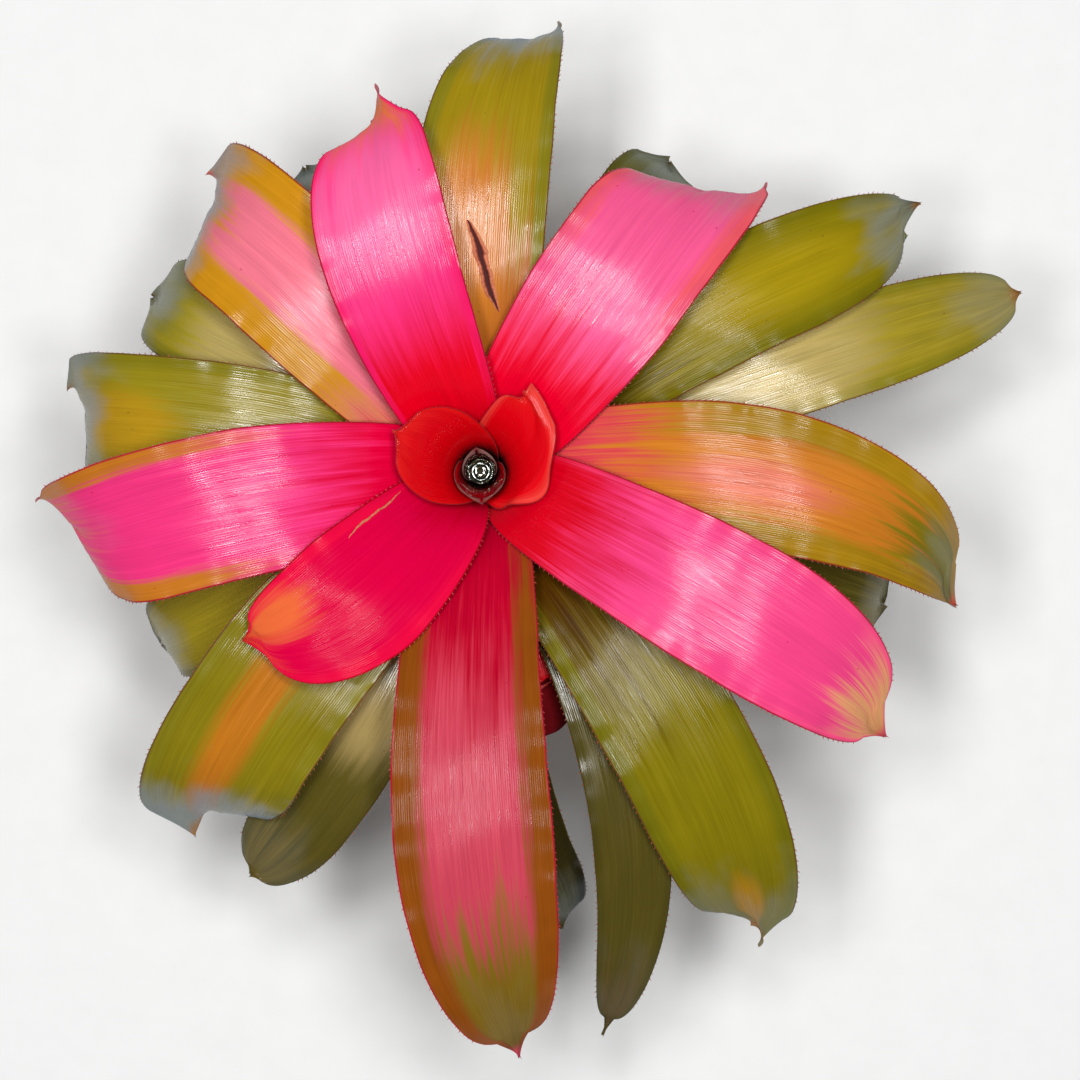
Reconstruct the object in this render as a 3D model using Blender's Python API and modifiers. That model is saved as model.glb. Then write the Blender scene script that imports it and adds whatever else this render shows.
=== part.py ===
"""A potted bromeliad: a low, broad-leaved rosette on a short stem, standing in a plain clay pot.

Units are metres, +Z is up, and the origin is the middle of the pot's underside. Angles are in
degrees: an azimuth is measured from +X towards +Y, an elevation upwards from the horizontal.
Each leaf is a sheet that starts on the stem, wraps round the younger leaves inside it like a cup,
then opens into a strap-shaped blade that arches over. Leaves in one whorl never meet, and each
whorl's sheath stands one pitch outside the whorl before it.
"""

import math
from collections import namedtuple

import bmesh
import bpy
from mathutils import Vector

MM = 0.001
GAP = 0.3 * MM

# The pot, a turned shape with a rim band and four drain holes.
POT_HEIGHT = 130 * MM
POT_TOP_RADIUS = 71 * MM
POT_BASE_RADIUS = 50 * MM
POT_WALL = 5 * MM
POT_FLOOR = 6 * MM
RIM_HEIGHT = 22 * MM
RIM_PROUD = 4 * MM
DRAIN_HOLES = 4
DRAIN_RADIUS = 5 * MM
DRAIN_CIRCLE = 28 * MM
TURNED_STEPS = 32

# The potting mix fills the pot to this far below the rim, slightly heaped round the stem.
MIX_BELOW_RIM = 18 * MM
MIX_HEAP = 3 * MM

# The stem, a short cone that the leaves clasp, with its foot set in the mix. The innermost tube of
# leaves, the heart, stands on its top and is a little wider than it.
HEART_RADIUS = 6.0 * MM
HEART_OVER_STEM = 2.0 * MM
STEM_TOP_RADIUS = HEART_RADIUS - HEART_OVER_STEM
STEM_FOOT_RADIUS = 12.0 * MM
STEM_TOP_ABOVE_RIM = 24 * MM
STEM_DEPTH = 26 * MM
STEM_CLEARANCE = 0.5 * MM

# The rosette. A sheath stands one pitch outside the last, and its whorl one drop lower.
LEAF_THICKNESS = 0.8 * MM
SHEATH_CLEARANCE = 0.75 * MM
WHORL_PITCH = LEAF_THICKNESS + SHEATH_CLEARANCE
WHORL_DROP = 2.0 * MM
SHEATH_HEIGHT = 24 * MM
FIRST_WHORL_BELOW_STEM_TOP = 2 * MM
# A blade opens over this arc. Its section turns from a ring to a channel between a distance
# outside its sheath and a radius.
OPENING_LENGTH = 22 * MM
OPENED_AT = 30 * MM
WRAP_ENDS = 10 * MM
BLADE_STARTS = 72 * MM
CHANNEL_RADIUS = 150 * MM
# Shares of a leaf's width, reach and length, the hollow of its point, and its narrowest half.
BASE_SHARE = 0.74
WIDEST_AT = 0.62
HOOK_STARTS = 0.72
POINT_HOLLOW = 1.7
TIP_HALF_WIDTH = 0.6 * MM

# Rainwater fills the innermost tube to this height above the stem.
WATER_DEPTH = 24 * MM
WATER_CLEARANCE = 0.5 * MM
WATER_ROWS = 4

SHEATH_ROWS = 3
OPENING_ROWS = 3
BLADE_ROWS = 4
TIP_ROWS = 3
POINT_ROWS = 2
LEAF_COLUMNS = 6
CUP_COLUMNS = 12

# name; whorl, counted from the heart; azimuth at the stem and its change by the tip; how far the
# tip reaches beyond the heart's radius, and greatest width, mm; rise, the elevation of the midrib
# once the blade has opened, and end, the same at the tip; hook, the further drop of the last
# stretch; skew, how far the left edge lags behind the midrib at the end, mm; lean, how much of the
# end's narrowing comes off the left edge alone; tip, the stretch that narrows, mm; shoulder, the
# share of the width where the drawn-out point starts; point, its length, mm; wrap, the most that
# the sheath wraps to each side; finish.
Leaf = namedtuple(
    "Leaf",
    "name whorl azimuth swing beyond width rise end hook skew lean tip shoulder point wrap finish",
)
LEAVES = [
    Leaf("leaf_01_heart", 0, 100, 0, 1.6, 30, 88, 78, 0, 0, 0, 8, 0.50, 2, 150, "heart"),
    Leaf("leaf_02_heart", 1, 260, 14, 6.4, 42, 84, 68, 0, 0, 0, 12, 0.40, 3, 150, "heart"),
    Leaf("leaf_03_cup", 2, 160, -4, 33, 48, 78, 30, 0, 0, 0, 22, 0.30, 4, 150, "red"),
    Leaf("leaf_04_cup", 3, 10, 50, 32, 48, 74, 28, 0, 0, 0, 24, 0.30, 4, 140, "red"),
    Leaf("leaf_05_red", 4, 229.4, -8, 121, 61, 62, -18, -12, 0, 0.42, 62, 0.26, 8, 56, "red"),
    Leaf("leaf_06_pink", 4, 116, -9, 158, 57, 58, -30, -12, 8, 0.1, 60, 0.54, 16, 56, "pink"),
    Leaf("leaf_07_pink", 5, -28, -2, 204, 62, 50, -34, -8, 0, 0.4, 86, 0.31, 14, 60, "pink"),
    Leaf("leaf_08_pink", 5, 186.6, 5, 174, 64, 50, -34, -30, 5, 0.8, 50, 0.60, 10, 60, "pink"),
    Leaf("leaf_09_pink", 6, 54, 0, 154, 65, 49, -32, -18, 12, 0.8, 40, 0.70, 7, 60, "pink"),
    Leaf("leaf_10_pink", 6, 266.5, 7.5, 248, 68, 45, -30, -8, 0, 0, 110, 0.22, 14, 60, "pink"),
    Leaf("leaf_11_orange", 7, 132, 4, 162, 64, 41, -34, -42, 7, 0.35, 44, 0.70, 10, 60, "orange"),
    Leaf("leaf_12_orange", 7, 1.4, -9.5, 215, 65, 41, -32, -15, 0, 0.95, 160, 0.30, 14, 60, "orange"),
    Leaf("leaf_13_olive", 8, 223.6, 8, 189, 66, 37, -34, -36, 9, 0, 50, 0.62, 10, 60, "olive"),
    Leaf("leaf_14_olive", 8, 91, -4, 191, 58, 37, -34, -34, 4, 0.8, 95, 0.36, 12, 60, "olive"),
    Leaf("leaf_15_olive", 9, -50, -10, 230, 60, 33, -34, -10, -5, -0.1, 85, 0.50, 14, 60, "olive"),
    Leaf("leaf_16_olive", 9, 169, 3, 174, 54, 33, -32, -36, 4, 0.4, 30, 0.80, 8, 60, "olive"),
    Leaf("leaf_17_olive", 10, 36.7, -9, 216, 51, 25, -25, -20, 0, -0.6, 82, 0.32, 14, 60, "olive"),
    Leaf("leaf_18_dark", 10, 249, -9, 200, 42, 25, -36, 0, 0, 0, 45, 0.20, 4, 60, "dark"),
    Leaf("leaf_19_dark", 11, 120, 0, 151, 44, 25, -32, -26, 0, 0, 40, 0.60, 12, 60, "dark"),
    Leaf("leaf_20_dark", 11, -59, -19, 250, 34, 24, -34, 0, 0, 0, 100, 0.14, 10, 60, "dark"),
    Leaf("leaf_21_olive", 12, 18.4, 0, 246, 43, 15.5, -23, 0, 0, 0, 80, 0.20, 6, 40, "olive"),
    Leaf("leaf_22_dark", 12, 150, 2, 161, 46, 21, -28, -40, 0, 0, 40, 0.60, 12, 44, "dark"),
    Leaf("leaf_23_torn", 12, 283, 1, 97, 34, 18, -10, 0, 3, 0, 16, 0.90, 5, 40, "torn"),
    Leaf("leaf_24_dark", 13, 59, 0, 158, 43, 16, -34, -26, 0, 0, 40, 0.60, 12, 36, "dark"),
    Leaf("leaf_25_dark", 13, 208, 0, 158, 42, 16, -34, -40, 0, 0, 36, 0.60, 12, 50, "dark"),
    Leaf("leaf_26_dark", 13, -18, 0, 186, 46, 16, -36, -30, 0, 0, 40, 0.60, 12, 36, "dark"),
    Leaf("leaf_27_shaded", 14, 281, 0, 116, 50, 10, -16, 0, 0, 0, 32, 0.25, 3, 40, "shaded"),
    Leaf("leaf_28_dark", 15, 268, 12, 205, 46, 3, -38, -10, 0, 0, 45, 0.60, 12, 40, "dark"),
]

# finish: colour, roughness
FINISHES = {
    "pot": ((0.62, 0.27, 0.16), 0.85),
    "mix": ((0.07, 0.045, 0.03), 0.95),
    "stem": ((0.33, 0.28, 0.14), 0.7),
    "water": ((0.55, 0.6, 0.58), 0.05),
    "heart": ((0.35, 0.02, 0.03), 0.35),
    "red": ((0.78, 0.02, 0.04), 0.4),
    "pink": ((0.86, 0.08, 0.25), 0.4),
    "orange": ((0.80, 0.35, 0.12), 0.42),
    "olive": ((0.42, 0.38, 0.06), 0.42),
    "dark": ((0.20, 0.18, 0.05), 0.45),
    "torn": ((0.60, 0.05, 0.05), 0.45),
    "shaded": ((0.25, 0.03, 0.04), 0.5),
}


def clear_scene():
    for old in list(bpy.data.objects):
        bpy.data.objects.remove(old)


def finish_of(name):
    """The Principled material of one finish, made when it is first asked for."""
    material = bpy.data.materials.get(name)
    if material is None:
        colour, roughness = FINISHES[name]
        material = bpy.data.materials.new(name)
        material.use_nodes = True
        shader = material.node_tree.nodes["Principled BSDF"]
        shader.inputs["Base Color"].default_value = (*colour, 1.0)
        shader.inputs["Roughness"].default_value = roughness
        shader.inputs["Metallic"].default_value = 0.0
        material.diffuse_color = (*colour, 1.0)
    return material


def add_object(name, mesh, finish, collection):
    obj = bpy.data.objects.new(name, mesh)
    collection.objects.link(obj)
    if finish:
        mesh.materials.append(finish_of(finish))
    return obj


def smooth_step(x):
    x = min(1.0, max(0.0, x))
    return x * x * (3.0 - 2.0 * x)


# --- turned pieces ---------------------------------------------------------------------------


def turned(name, outline, finish, collection):
    """A solid of revolution. Its outline is (radius, height) points that end on the axis and run
    down the outer side."""
    mesh = bpy.data.meshes.new(name)
    points = [(radius, 0.0, height) for radius, height in outline]
    mesh.from_pydata(points, [(i, i + 1) for i in range(len(points) - 1)], [])
    obj = add_object(name, mesh, finish, collection)
    screw = obj.modifiers.new("turn", "SCREW")
    screw.axis = "Z"
    screw.angle = math.tau
    screw.steps = TURNED_STEPS
    screw.render_steps = TURNED_STEPS
    screw.use_merge_vertices = True
    screw.merge_threshold = 0.00005
    return obj


def pot_inner_radius(height):
    """The radius of the pot's inner wall at a height."""
    share = height / POT_HEIGHT
    return POT_BASE_RADIUS + (POT_TOP_RADIUS - POT_BASE_RADIUS) * share - POT_WALL


def pot_outer_radius(height):
    return pot_inner_radius(height) + POT_WALL


def make_pot(collection, cutters):
    band_low = POT_HEIGHT - RIM_HEIGHT
    band_radius = POT_TOP_RADIUS + RIM_PROUD
    outline = [
        (0.0, POT_FLOOR),
        (pot_inner_radius(POT_FLOOR), POT_FLOOR),
        (pot_inner_radius(POT_HEIGHT), POT_HEIGHT),
        (band_radius, POT_HEIGHT),
        (band_radius - 0.4 * RIM_PROUD, band_low),
        (pot_outer_radius(band_low), band_low),
        (pot_outer_radius(0.0), 0.0),
        (0.0, 0.0),
    ]
    pot = turned("pot", outline, "pot", collection)
    for i in range(DRAIN_HOLES):
        turn = math.tau * (i + 0.5) / DRAIN_HOLES
        mesh = bpy.data.meshes.new(f"drain_cutter_{i + 1}")
        shape = bmesh.new()
        bmesh.ops.create_cone(
            shape, cap_ends=True, segments=12,
            radius1=DRAIN_RADIUS, radius2=DRAIN_RADIUS, depth=4 * POT_FLOOR,
        )
        shape.to_mesh(mesh)
        shape.free()
        cutter = add_object(mesh.name, mesh, None, cutters)
        cutter.location = (DRAIN_CIRCLE * math.cos(turn), DRAIN_CIRCLE * math.sin(turn), 0.0)
        cutter.display_type = "WIRE"
        cutter.hide_render = True
        cut = pot.modifiers.new(cutter.name, "BOOLEAN")
        cut.operation = "DIFFERENCE"
        cut.object = cutter
    return pot


def mix_top(radius):
    """The height of the potting mix's surface at a radius."""
    edge = pot_inner_radius(POT_HEIGHT - MIX_BELOW_RIM)
    return POT_HEIGHT - MIX_BELOW_RIM + MIX_HEAP * (1.0 - radius / edge)


def stem_top():
    return POT_HEIGHT + STEM_TOP_ABOVE_RIM


def stem_radius(height):
    """The stem's radius at a height: a cone above the mix, and a cylinder in it."""
    share = (stem_top() - height) / (stem_top() - mix_top(0.0))
    return STEM_TOP_RADIUS + (STEM_FOOT_RADIUS - STEM_TOP_RADIUS) * min(1.0, share)


def make_potting_mix(collection):
    hole_floor = mix_top(0.0) - STEM_DEPTH - GAP
    hole_radius = STEM_FOOT_RADIUS + GAP
    low = POT_FLOOR + GAP
    edge_height = POT_HEIGHT - MIX_BELOW_RIM
    outline = [
        (0.0, hole_floor),
        (hole_radius, hole_floor),
        (hole_radius, mix_top(hole_radius)),
        (pot_inner_radius(edge_height) - GAP, edge_height),
        (pot_inner_radius(low) - GAP, low),
        (0.0, low),
    ]
    return turned("potting_mix", outline, "mix", collection)


def make_stem(collection):
    foot = mix_top(0.0) - STEM_DEPTH
    chamfer = 0.3 * STEM_FOOT_RADIUS
    outline = [
        (0.0, stem_top()),
        (STEM_TOP_RADIUS, stem_top()),
        (STEM_FOOT_RADIUS, mix_top(0.0)),
        (STEM_FOOT_RADIUS, foot + chamfer),
        (STEM_FOOT_RADIUS - chamfer, foot),
        (0.0, foot),
    ]
    return turned("stem", outline, "stem", collection)


def make_water(collection):
    """The pool stands inside the innermost tube, on top of the stem."""
    foot = stem_top() - FIRST_WHORL_BELOW_STEM_TOP
    inner = stem_radius(foot) + STEM_CLEARANCE
    low = stem_top() + GAP
    outline = [(0.0, low + WATER_DEPTH)]
    for i in range(WATER_ROWS + 1):
        height = low + WATER_DEPTH * (1.0 - i / WATER_ROWS)
        lean = max(0.0, 1.0 - (height - foot) / SHEATH_HEIGHT)
        radius = inner + (HEART_RADIUS - inner) * math.sqrt(1.0 - lean * lean)
        outline.append((radius - WATER_CLEARANCE, height))
    outline.append((0.0, low))
    return turned("water", outline, "water", collection)


# --- leaves ----------------------------------------------------------------------------------


def blade_elevation(leaf, share, length):
    """The midrib's elevation in radians at a share of the blade's length: upright where it leaves
    the sheath, soon leaning out to leaf.rise, then falling evenly to leaf.end at the tip, with the
    hook added to the last quarter."""
    angle = leaf.rise + (leaf.end - leaf.rise) * share
    angle += (90.0 - leaf.rise) * math.exp(-share * length / OPENING_LENGTH)
    angle += leaf.hook * smooth_step((share - HOOK_STARTS) / (1.0 - HOOK_STARTS))
    return math.radians(angle)


def sheath_radius(leaf):
    return HEART_RADIUS + WHORL_PITCH * leaf.whorl


def tip_reach(leaf):
    """How far the tip lies from the axis."""
    return HEART_RADIUS + leaf.beyond * MM


def blade_length(leaf, samples=100):
    """The length that brings the tip out to its reach, closed in on by repeated scaling."""
    wanted = tip_reach(leaf) - sheath_radius(leaf)
    length = wanted
    for _ in range(30):
        run = sum(
            math.cos(blade_elevation(leaf, (i + 0.5) / samples, length)) for i in range(samples)
        )
        length *= 0.5 + 0.5 * wanted / (run * length / samples)
    return length


def midrib(leaf, blade_shares, samples=400):
    """(radius, height, elevation, distance to the tip) rows of the midrib, from the stem to the
    tip: a quarter ellipse for the clasping base, then the blade at the shares asked for."""
    foot = stem_top() - FIRST_WHORL_BELOW_STEM_TOP - WHORL_DROP * leaf.whorl
    inner = stem_radius(foot) + STEM_CLEARANCE
    outer = sheath_radius(leaf)
    length = blade_length(leaf)
    rows = []
    for i in range(SHEATH_ROWS):
        turn = 0.5 * math.pi * i / SHEATH_ROWS
        radius = inner + (outer - inner) * math.sin(turn)
        height = foot + SHEATH_HEIGHT * (1.0 - math.cos(turn))
        rows.append((radius, height, turn, length + SHEATH_HEIGHT * math.cos(turn)))
    radius, height, done = outer, foot + SHEATH_HEIGHT, 0
    for share in blade_shares:
        upto = round(share * samples)
        for i in range(done, upto):
            angle = blade_elevation(leaf, (i + 0.5) / samples, length)
            radius += math.cos(angle) * length / samples
            height += math.sin(angle) * length / samples
        done = upto
        angle = blade_elevation(leaf, share, length)
        rows.append((radius, height, angle, length * (1.0 - share)))
    return rows


def row_shares(leaf):
    """Where the blade's rows lie: close together where it opens, even as far as the narrowing
    tip, then closer again."""
    length = blade_length(leaf)
    tip, point = leaf.tip * MM, leaf.point * MM
    opened = min(OPENED_AT, 0.5 * (length - tip))
    arcs = [opened * (i / OPENING_ROWS) ** 1.3 for i in range(OPENING_ROWS)]
    arcs += [opened + (length - tip - opened) * i / BLADE_ROWS for i in range(BLADE_ROWS)]
    arcs += [length - point - (tip - point) * (1.0 - i / TIP_ROWS) ** 1.4 for i in range(TIP_ROWS)]
    arcs += [length - point * (1.0 - i / POINT_ROWS) for i in range(POINT_ROWS + 1)]
    return [arc / length for arc in arcs]


def half_widths(leaf, radius, to_tip):
    """Half the leaf's width, with and without the narrowing of its end: held in by the wrap near
    the axis, widest past the middle, then narrowing in a quarter ellipse to the shoulder and in a
    hollow curve to the point."""
    full = 0.5 * leaf.width * MM
    share = BASE_SHARE if leaf.wrap < 90 else 1.0
    widest = full * (share + (1.0 - share) * smooth_step(radius / (WIDEST_AT * tip_reach(leaf))))
    tip, point = leaf.tip * MM, leaf.point * MM
    if to_tip < point:
        narrowed = leaf.shoulder * (to_tip / point) ** POINT_HOLLOW
    elif to_tip < tip:
        rise = (to_tip - point) / (tip - point)
        narrowed = leaf.shoulder + (1.0 - leaf.shoulder) * math.sqrt(rise * (2.0 - rise))
    else:
        narrowed = 1.0
    wrapped = math.radians(leaf.wrap) * radius

    def held(free):
        return max(TIP_HALF_WIDTH, (wrapped ** -4 + (free + 1e-9) ** -4) ** -0.25)

    return held(widest * narrowed), held(widest)


def leaf_point(leaf, row, across):
    """The point of the leaf's upper face on a midrib row, across from -1 (right) to 1 (left)."""
    radius, height, elevation, to_tip = row
    reach = tip_reach(leaf)
    turn = math.radians(leaf.azimuth + leaf.swing * (radius / reach) ** 2)
    half, unnarrowed = half_widths(leaf, radius, to_tip)
    side = half * across
    wrapped = Vector((
        radius * math.cos(turn + side / radius),
        radius * math.sin(turn + side / radius),
        height,
    ))
    if leaf.wrap >= 90:
        return wrapped
    # The plan heading leads the azimuth where the leaf swings.
    heading = turn + math.atan(2.0 * math.radians(leaf.swing) * (radius / reach) ** 2)
    forward = Vector((math.cos(heading), math.sin(heading), 0.0))
    left = Vector((-forward.y, forward.x, 0.0))
    normal = Vector((0.0, 0.0, 1.0)) * math.cos(elevation) - forward * math.sin(elevation)
    side -= leaf.lean * (unnarrowed - half)
    bow = side / CHANNEL_RADIUS
    flat = Vector((radius * math.cos(turn), radius * math.sin(turn), height))
    flat += left * CHANNEL_RADIUS * math.sin(bow)
    flat += normal * CHANNEL_RADIUS * (1.0 - math.cos(bow))
    flat -= forward * leaf.skew * MM * across * smooth_step(1.0 - to_tip / (2.0 * leaf.tip * MM))
    opens = sheath_radius(leaf) + WRAP_ENDS
    return wrapped.lerp(flat, smooth_step((radius - opens) / (BLADE_STARTS - opens)))


def make_leaf(leaf, collection):
    columns = CUP_COLUMNS if leaf.wrap >= 90 else LEAF_COLUMNS
    rows = midrib(leaf, row_shares(leaf))
    mesh = bpy.data.meshes.new(leaf.name)
    sheet = bmesh.new()
    bmesh.ops.create_grid(sheet, x_segments=len(rows) - 1, y_segments=columns, size=1.0)
    for vertex in sheet.verts:
        row = rows[round((vertex.co.x + 1.0) / 2.0 * (len(rows) - 1))]
        vertex.co = leaf_point(leaf, row, vertex.co.y)
    sheet.to_mesh(mesh)
    sheet.free()
    obj = add_object(leaf.name, mesh, leaf.finish, collection)
    solid = obj.modifiers.new("thickness", "SOLIDIFY")
    solid.thickness = LEAF_THICKNESS
    solid.offset = -1.0
    return obj


def build():
    clear_scene()
    collection = bpy.data.collections.new("potted_bromeliad")
    cutters = bpy.data.collections.new("cutters")
    bpy.context.scene.collection.children.link(collection)
    bpy.context.scene.collection.children.link(cutters)
    make_pot(collection, cutters)
    make_potting_mix(collection)
    make_stem(collection)
    make_water(collection)
    for leaf in LEAVES:
        make_leaf(leaf, collection)


build()
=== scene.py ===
# %% [markdown]
# # A potted bromeliad
# The object is a living rosette. Broad, strap-shaped leaves clasp a short stem, stand up like a cup
# round a small pool of rainwater, and then arch over. The youngest leaves are crimson and hot pink,
# the older ones orange, olive and dark green, and all of them grow from a plain clay pot.
#
# The solids of the plant are already fixed. They are loaded first, so that every finished piece
# below can be laid where its solid is, and the size of their box is printed, to set beside the size
# of the finished model printed at the end.

# %% Load the fixed solids
import math
from collections import namedtuple

import bmesh
import bpy
import numpy as np
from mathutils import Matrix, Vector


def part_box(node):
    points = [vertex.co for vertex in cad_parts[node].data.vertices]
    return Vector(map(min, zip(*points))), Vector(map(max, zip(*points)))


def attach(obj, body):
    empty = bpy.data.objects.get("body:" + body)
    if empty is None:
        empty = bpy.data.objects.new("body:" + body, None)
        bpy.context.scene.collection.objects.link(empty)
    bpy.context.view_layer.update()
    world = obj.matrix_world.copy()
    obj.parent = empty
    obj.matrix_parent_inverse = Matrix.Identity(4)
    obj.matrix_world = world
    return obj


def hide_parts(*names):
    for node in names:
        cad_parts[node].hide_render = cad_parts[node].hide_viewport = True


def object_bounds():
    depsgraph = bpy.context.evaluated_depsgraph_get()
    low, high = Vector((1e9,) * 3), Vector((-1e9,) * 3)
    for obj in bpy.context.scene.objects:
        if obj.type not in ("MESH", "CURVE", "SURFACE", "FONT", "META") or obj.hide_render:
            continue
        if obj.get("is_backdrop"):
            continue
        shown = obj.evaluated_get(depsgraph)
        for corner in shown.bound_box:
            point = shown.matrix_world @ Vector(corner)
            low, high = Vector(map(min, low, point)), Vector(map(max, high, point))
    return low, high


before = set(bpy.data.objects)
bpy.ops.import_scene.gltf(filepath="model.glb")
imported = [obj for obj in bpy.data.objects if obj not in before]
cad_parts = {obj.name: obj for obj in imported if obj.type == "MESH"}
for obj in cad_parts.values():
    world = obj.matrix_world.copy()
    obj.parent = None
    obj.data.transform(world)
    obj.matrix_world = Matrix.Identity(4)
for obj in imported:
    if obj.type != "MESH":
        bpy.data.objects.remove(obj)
CAD_LOW, CAD_HIGH = (np.array(corner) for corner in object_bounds())
MM = 0.001
BODY = "root"
print(len(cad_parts), "solids in a box of", np.round((CAD_HIGH - CAD_LOW) / MM, 1), "mm")

# %% [markdown]
# ## The studio
# The rosette is looked at from straight above, as a gardener leans over it. Waxy leaves show their
# gloss as a pale band across the crest of each arch, where the leaf lies level and mirrors whatever
# is overhead. A ring of soft panels round the camera makes that band, with a gap on the near side
# where the gardener stands, and a faint even sky fills the shadows. The pale floor is stage, so it
# isn't counted as the object.

# %% Camera
def into_scene(obj):
    bpy.context.scene.collection.objects.link(obj)
    return obj


LEAF_LEVEL = 220 * MM
CAMERA_ABOVE_LEAVES = 1500 * MM
HALF_VIEW = 229 * MM
CAMERA_CENTRE = (26 * MM, -30 * MM)

camera_data = bpy.data.cameras.new("camera")
camera_data.angle = 2.0 * math.atan(HALF_VIEW / CAMERA_ABOVE_LEAVES)
camera = bpy.data.objects.new("camera", camera_data)
camera.location = (*CAMERA_CENTRE, LEAF_LEVEL + CAMERA_ABOVE_LEAVES)
into_scene(camera)
bpy.context.scene.camera = camera
bpy.context.scene.view_settings.view_transform = "Standard"
print("camera", np.round(camera.location, 3), "sees", round(math.degrees(camera_data.angle), 2), "degrees")

# %% Panels and sky
PANEL_SIDE = 0.26
PANEL_HEIGHT = 2.2
PANEL_POWER = 8.6
PANEL_RING = 0.4
PANEL_AZIMUTHS = {"far": 90, "far_left": 155, "near_left": 205, "near_right": 335, "far_right": 25}
SKY_COLOUR = (0.93, 0.97, 1.0, 1.0)
SKY_STRENGTH = 0.17

for side, azimuth in PANEL_AZIMUTHS.items():
    x = PANEL_RING * math.cos(math.radians(azimuth))
    y = PANEL_RING * math.sin(math.radians(azimuth))
    panel_data = bpy.data.lights.new("panel_" + side, "AREA")
    panel_data.shape = "SQUARE"
    panel_data.size = PANEL_SIDE
    panel_data.energy = PANEL_POWER
    panel = bpy.data.objects.new("panel_" + side, panel_data)
    panel.location = (x, y, PANEL_HEIGHT)
    panel.rotation_euler = (-math.atan2(y, PANEL_HEIGHT), math.atan2(x, PANEL_HEIGHT), 0.0)
    into_scene(panel)
world = bpy.data.worlds.new("pale_sky")
bpy.context.scene.world = world
world.use_nodes = True
sky = world.node_tree.nodes["Background"]
sky.inputs["Color"].default_value = SKY_COLOUR
sky.inputs["Strength"].default_value = SKY_STRENGTH
print(len(PANEL_AZIMUTHS), "panels of", PANEL_SIDE, "m in a ring open towards the gardener")

# %% [markdown]
# ## Small tools
# Meshes are made from arrays of points and faces. A finish is a tree of shader nodes, and wiring one
# by hand is wordy, so a small class adds nodes and joins their inputs to numbers, colours or other
# nodes. The same class wires Geometry Nodes. Colours are written as on a paint chart, from 0 to 255,
# and turned into the linear values that a renderer works with.

# %% Meshes and colours
def colour(red, green, blue):
    """A paint-chart colour as a linear one with full alpha."""
    parts = [part / 255.0 for part in (red, green, blue)]
    linear = [p / 12.92 if p <= 0.04045 else ((p + 0.055) / 1.055) ** 2.4 for p in parts]
    return (*linear, 1.0)


def ease(x):
    x = np.clip(x, 0.0, 1.0)
    return x * x * (3.0 - 2.0 * x)


def mesh_object(name, points, faces, smooth=True, material=None):
    mesh = bpy.data.meshes.new(name)
    mesh.from_pydata([tuple(p) for p in points], [], faces)
    mesh.polygons.foreach_set("use_smooth", [smooth] * len(faces))
    mesh.update()
    if material:
        mesh.materials.append(material)
    return into_scene(bpy.data.objects.new(name, mesh))


def point_layer(obj, label, values):
    """Stores one number for each point of a mesh, for its finish to read."""
    layer = obj.data.attributes.new(label, "FLOAT", "POINT")
    layer.data.foreach_set("value", np.asarray(values, np.float32))


def place(obj, slot, *nodes):
    """Hands a finished piece over: it rides on the body and stands for its solids."""
    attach(obj, BODY)
    if nodes:
        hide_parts(*nodes)


floor = mesh_object(
    "floor", [(-3, -3, 0), (3, -3, 0), (3, 3, 0), (-3, 3, 0)], [(0, 1, 2, 3)], smooth=False
)
floor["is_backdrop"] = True
print("floor laid at height", 0.0)


# %% Wiring of node trees
class Wiring:
    """Adds nodes to a tree. Any input may be a number, a colour or another node's output."""

    def __init__(self, tree):
        self.tree = tree

    def join(self, value, socket):
        if isinstance(value, bpy.types.NodeSocket):
            self.tree.links.new(value, socket)
        else:
            socket.default_value = value

    def node(self, kind, inputs=None, **settings):
        node = self.tree.nodes.new(kind)
        for key, value in settings.items():
            setattr(node, key, value)
        for key, value in (inputs or {}).items():
            self.join(value, node.inputs[key])
        return node

    def math(self, operation, *values):
        node = self.node("ShaderNodeMath", dict(enumerate(values)), operation=operation)
        return node.outputs[0]

    def times(self, one, other):
        return self.math("MULTIPLY", one, other)

    def scaled(self, value, factor, base):
        """The value times a factor, plus a base."""
        return self.math("MULTIPLY_ADD", value, factor, base)

    def step(self, value, low, high):
        """0 below low, 1 above high, and a smooth rise between."""
        node = self.node(
            "ShaderNodeMapRange",
            {"Value": value, "From Min": low, "From Max": high},
            interpolation_type="SMOOTHSTEP",
        )
        return node.outputs["Result"]

    def mix(self, share, one, other, blend="MIX"):
        node = self.node("ShaderNodeMix", {0: share, 6: one, 7: other}, data_type="RGBA")
        node.blend_type = blend
        return node.outputs[2]

    def noise(self, vector, scale, detail=2.0):
        """Noise about zero, from roughly -1 to 1."""
        node = self.node("ShaderNodeTexNoise", {"Vector": vector, "Scale": scale, "Detail": detail})
        return self.times(self.math("SUBTRACT", node.outputs["Fac"], 0.5), 3.0)

    def vector(self, x, y, z):
        return self.node("ShaderNodeCombineXYZ", {0: x, 1: y, 2: z}).outputs[0]

    def attribute(self, name):
        return self.node("ShaderNodeAttribute", attribute_name=name).outputs["Fac"]

    def position(self):
        return self.node("ShaderNodeTexCoord").outputs["Object"]

    def bumped(self, shader, height, depth):
        bump = self.node("ShaderNodeBump", {"Height": height, "Distance": depth})
        self.join(bump.outputs["Normal"], shader.inputs["Normal"])


SOCKETS = {"number": "NodeSocketFloat", "colour": "NodeSocketColor"}


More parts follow.
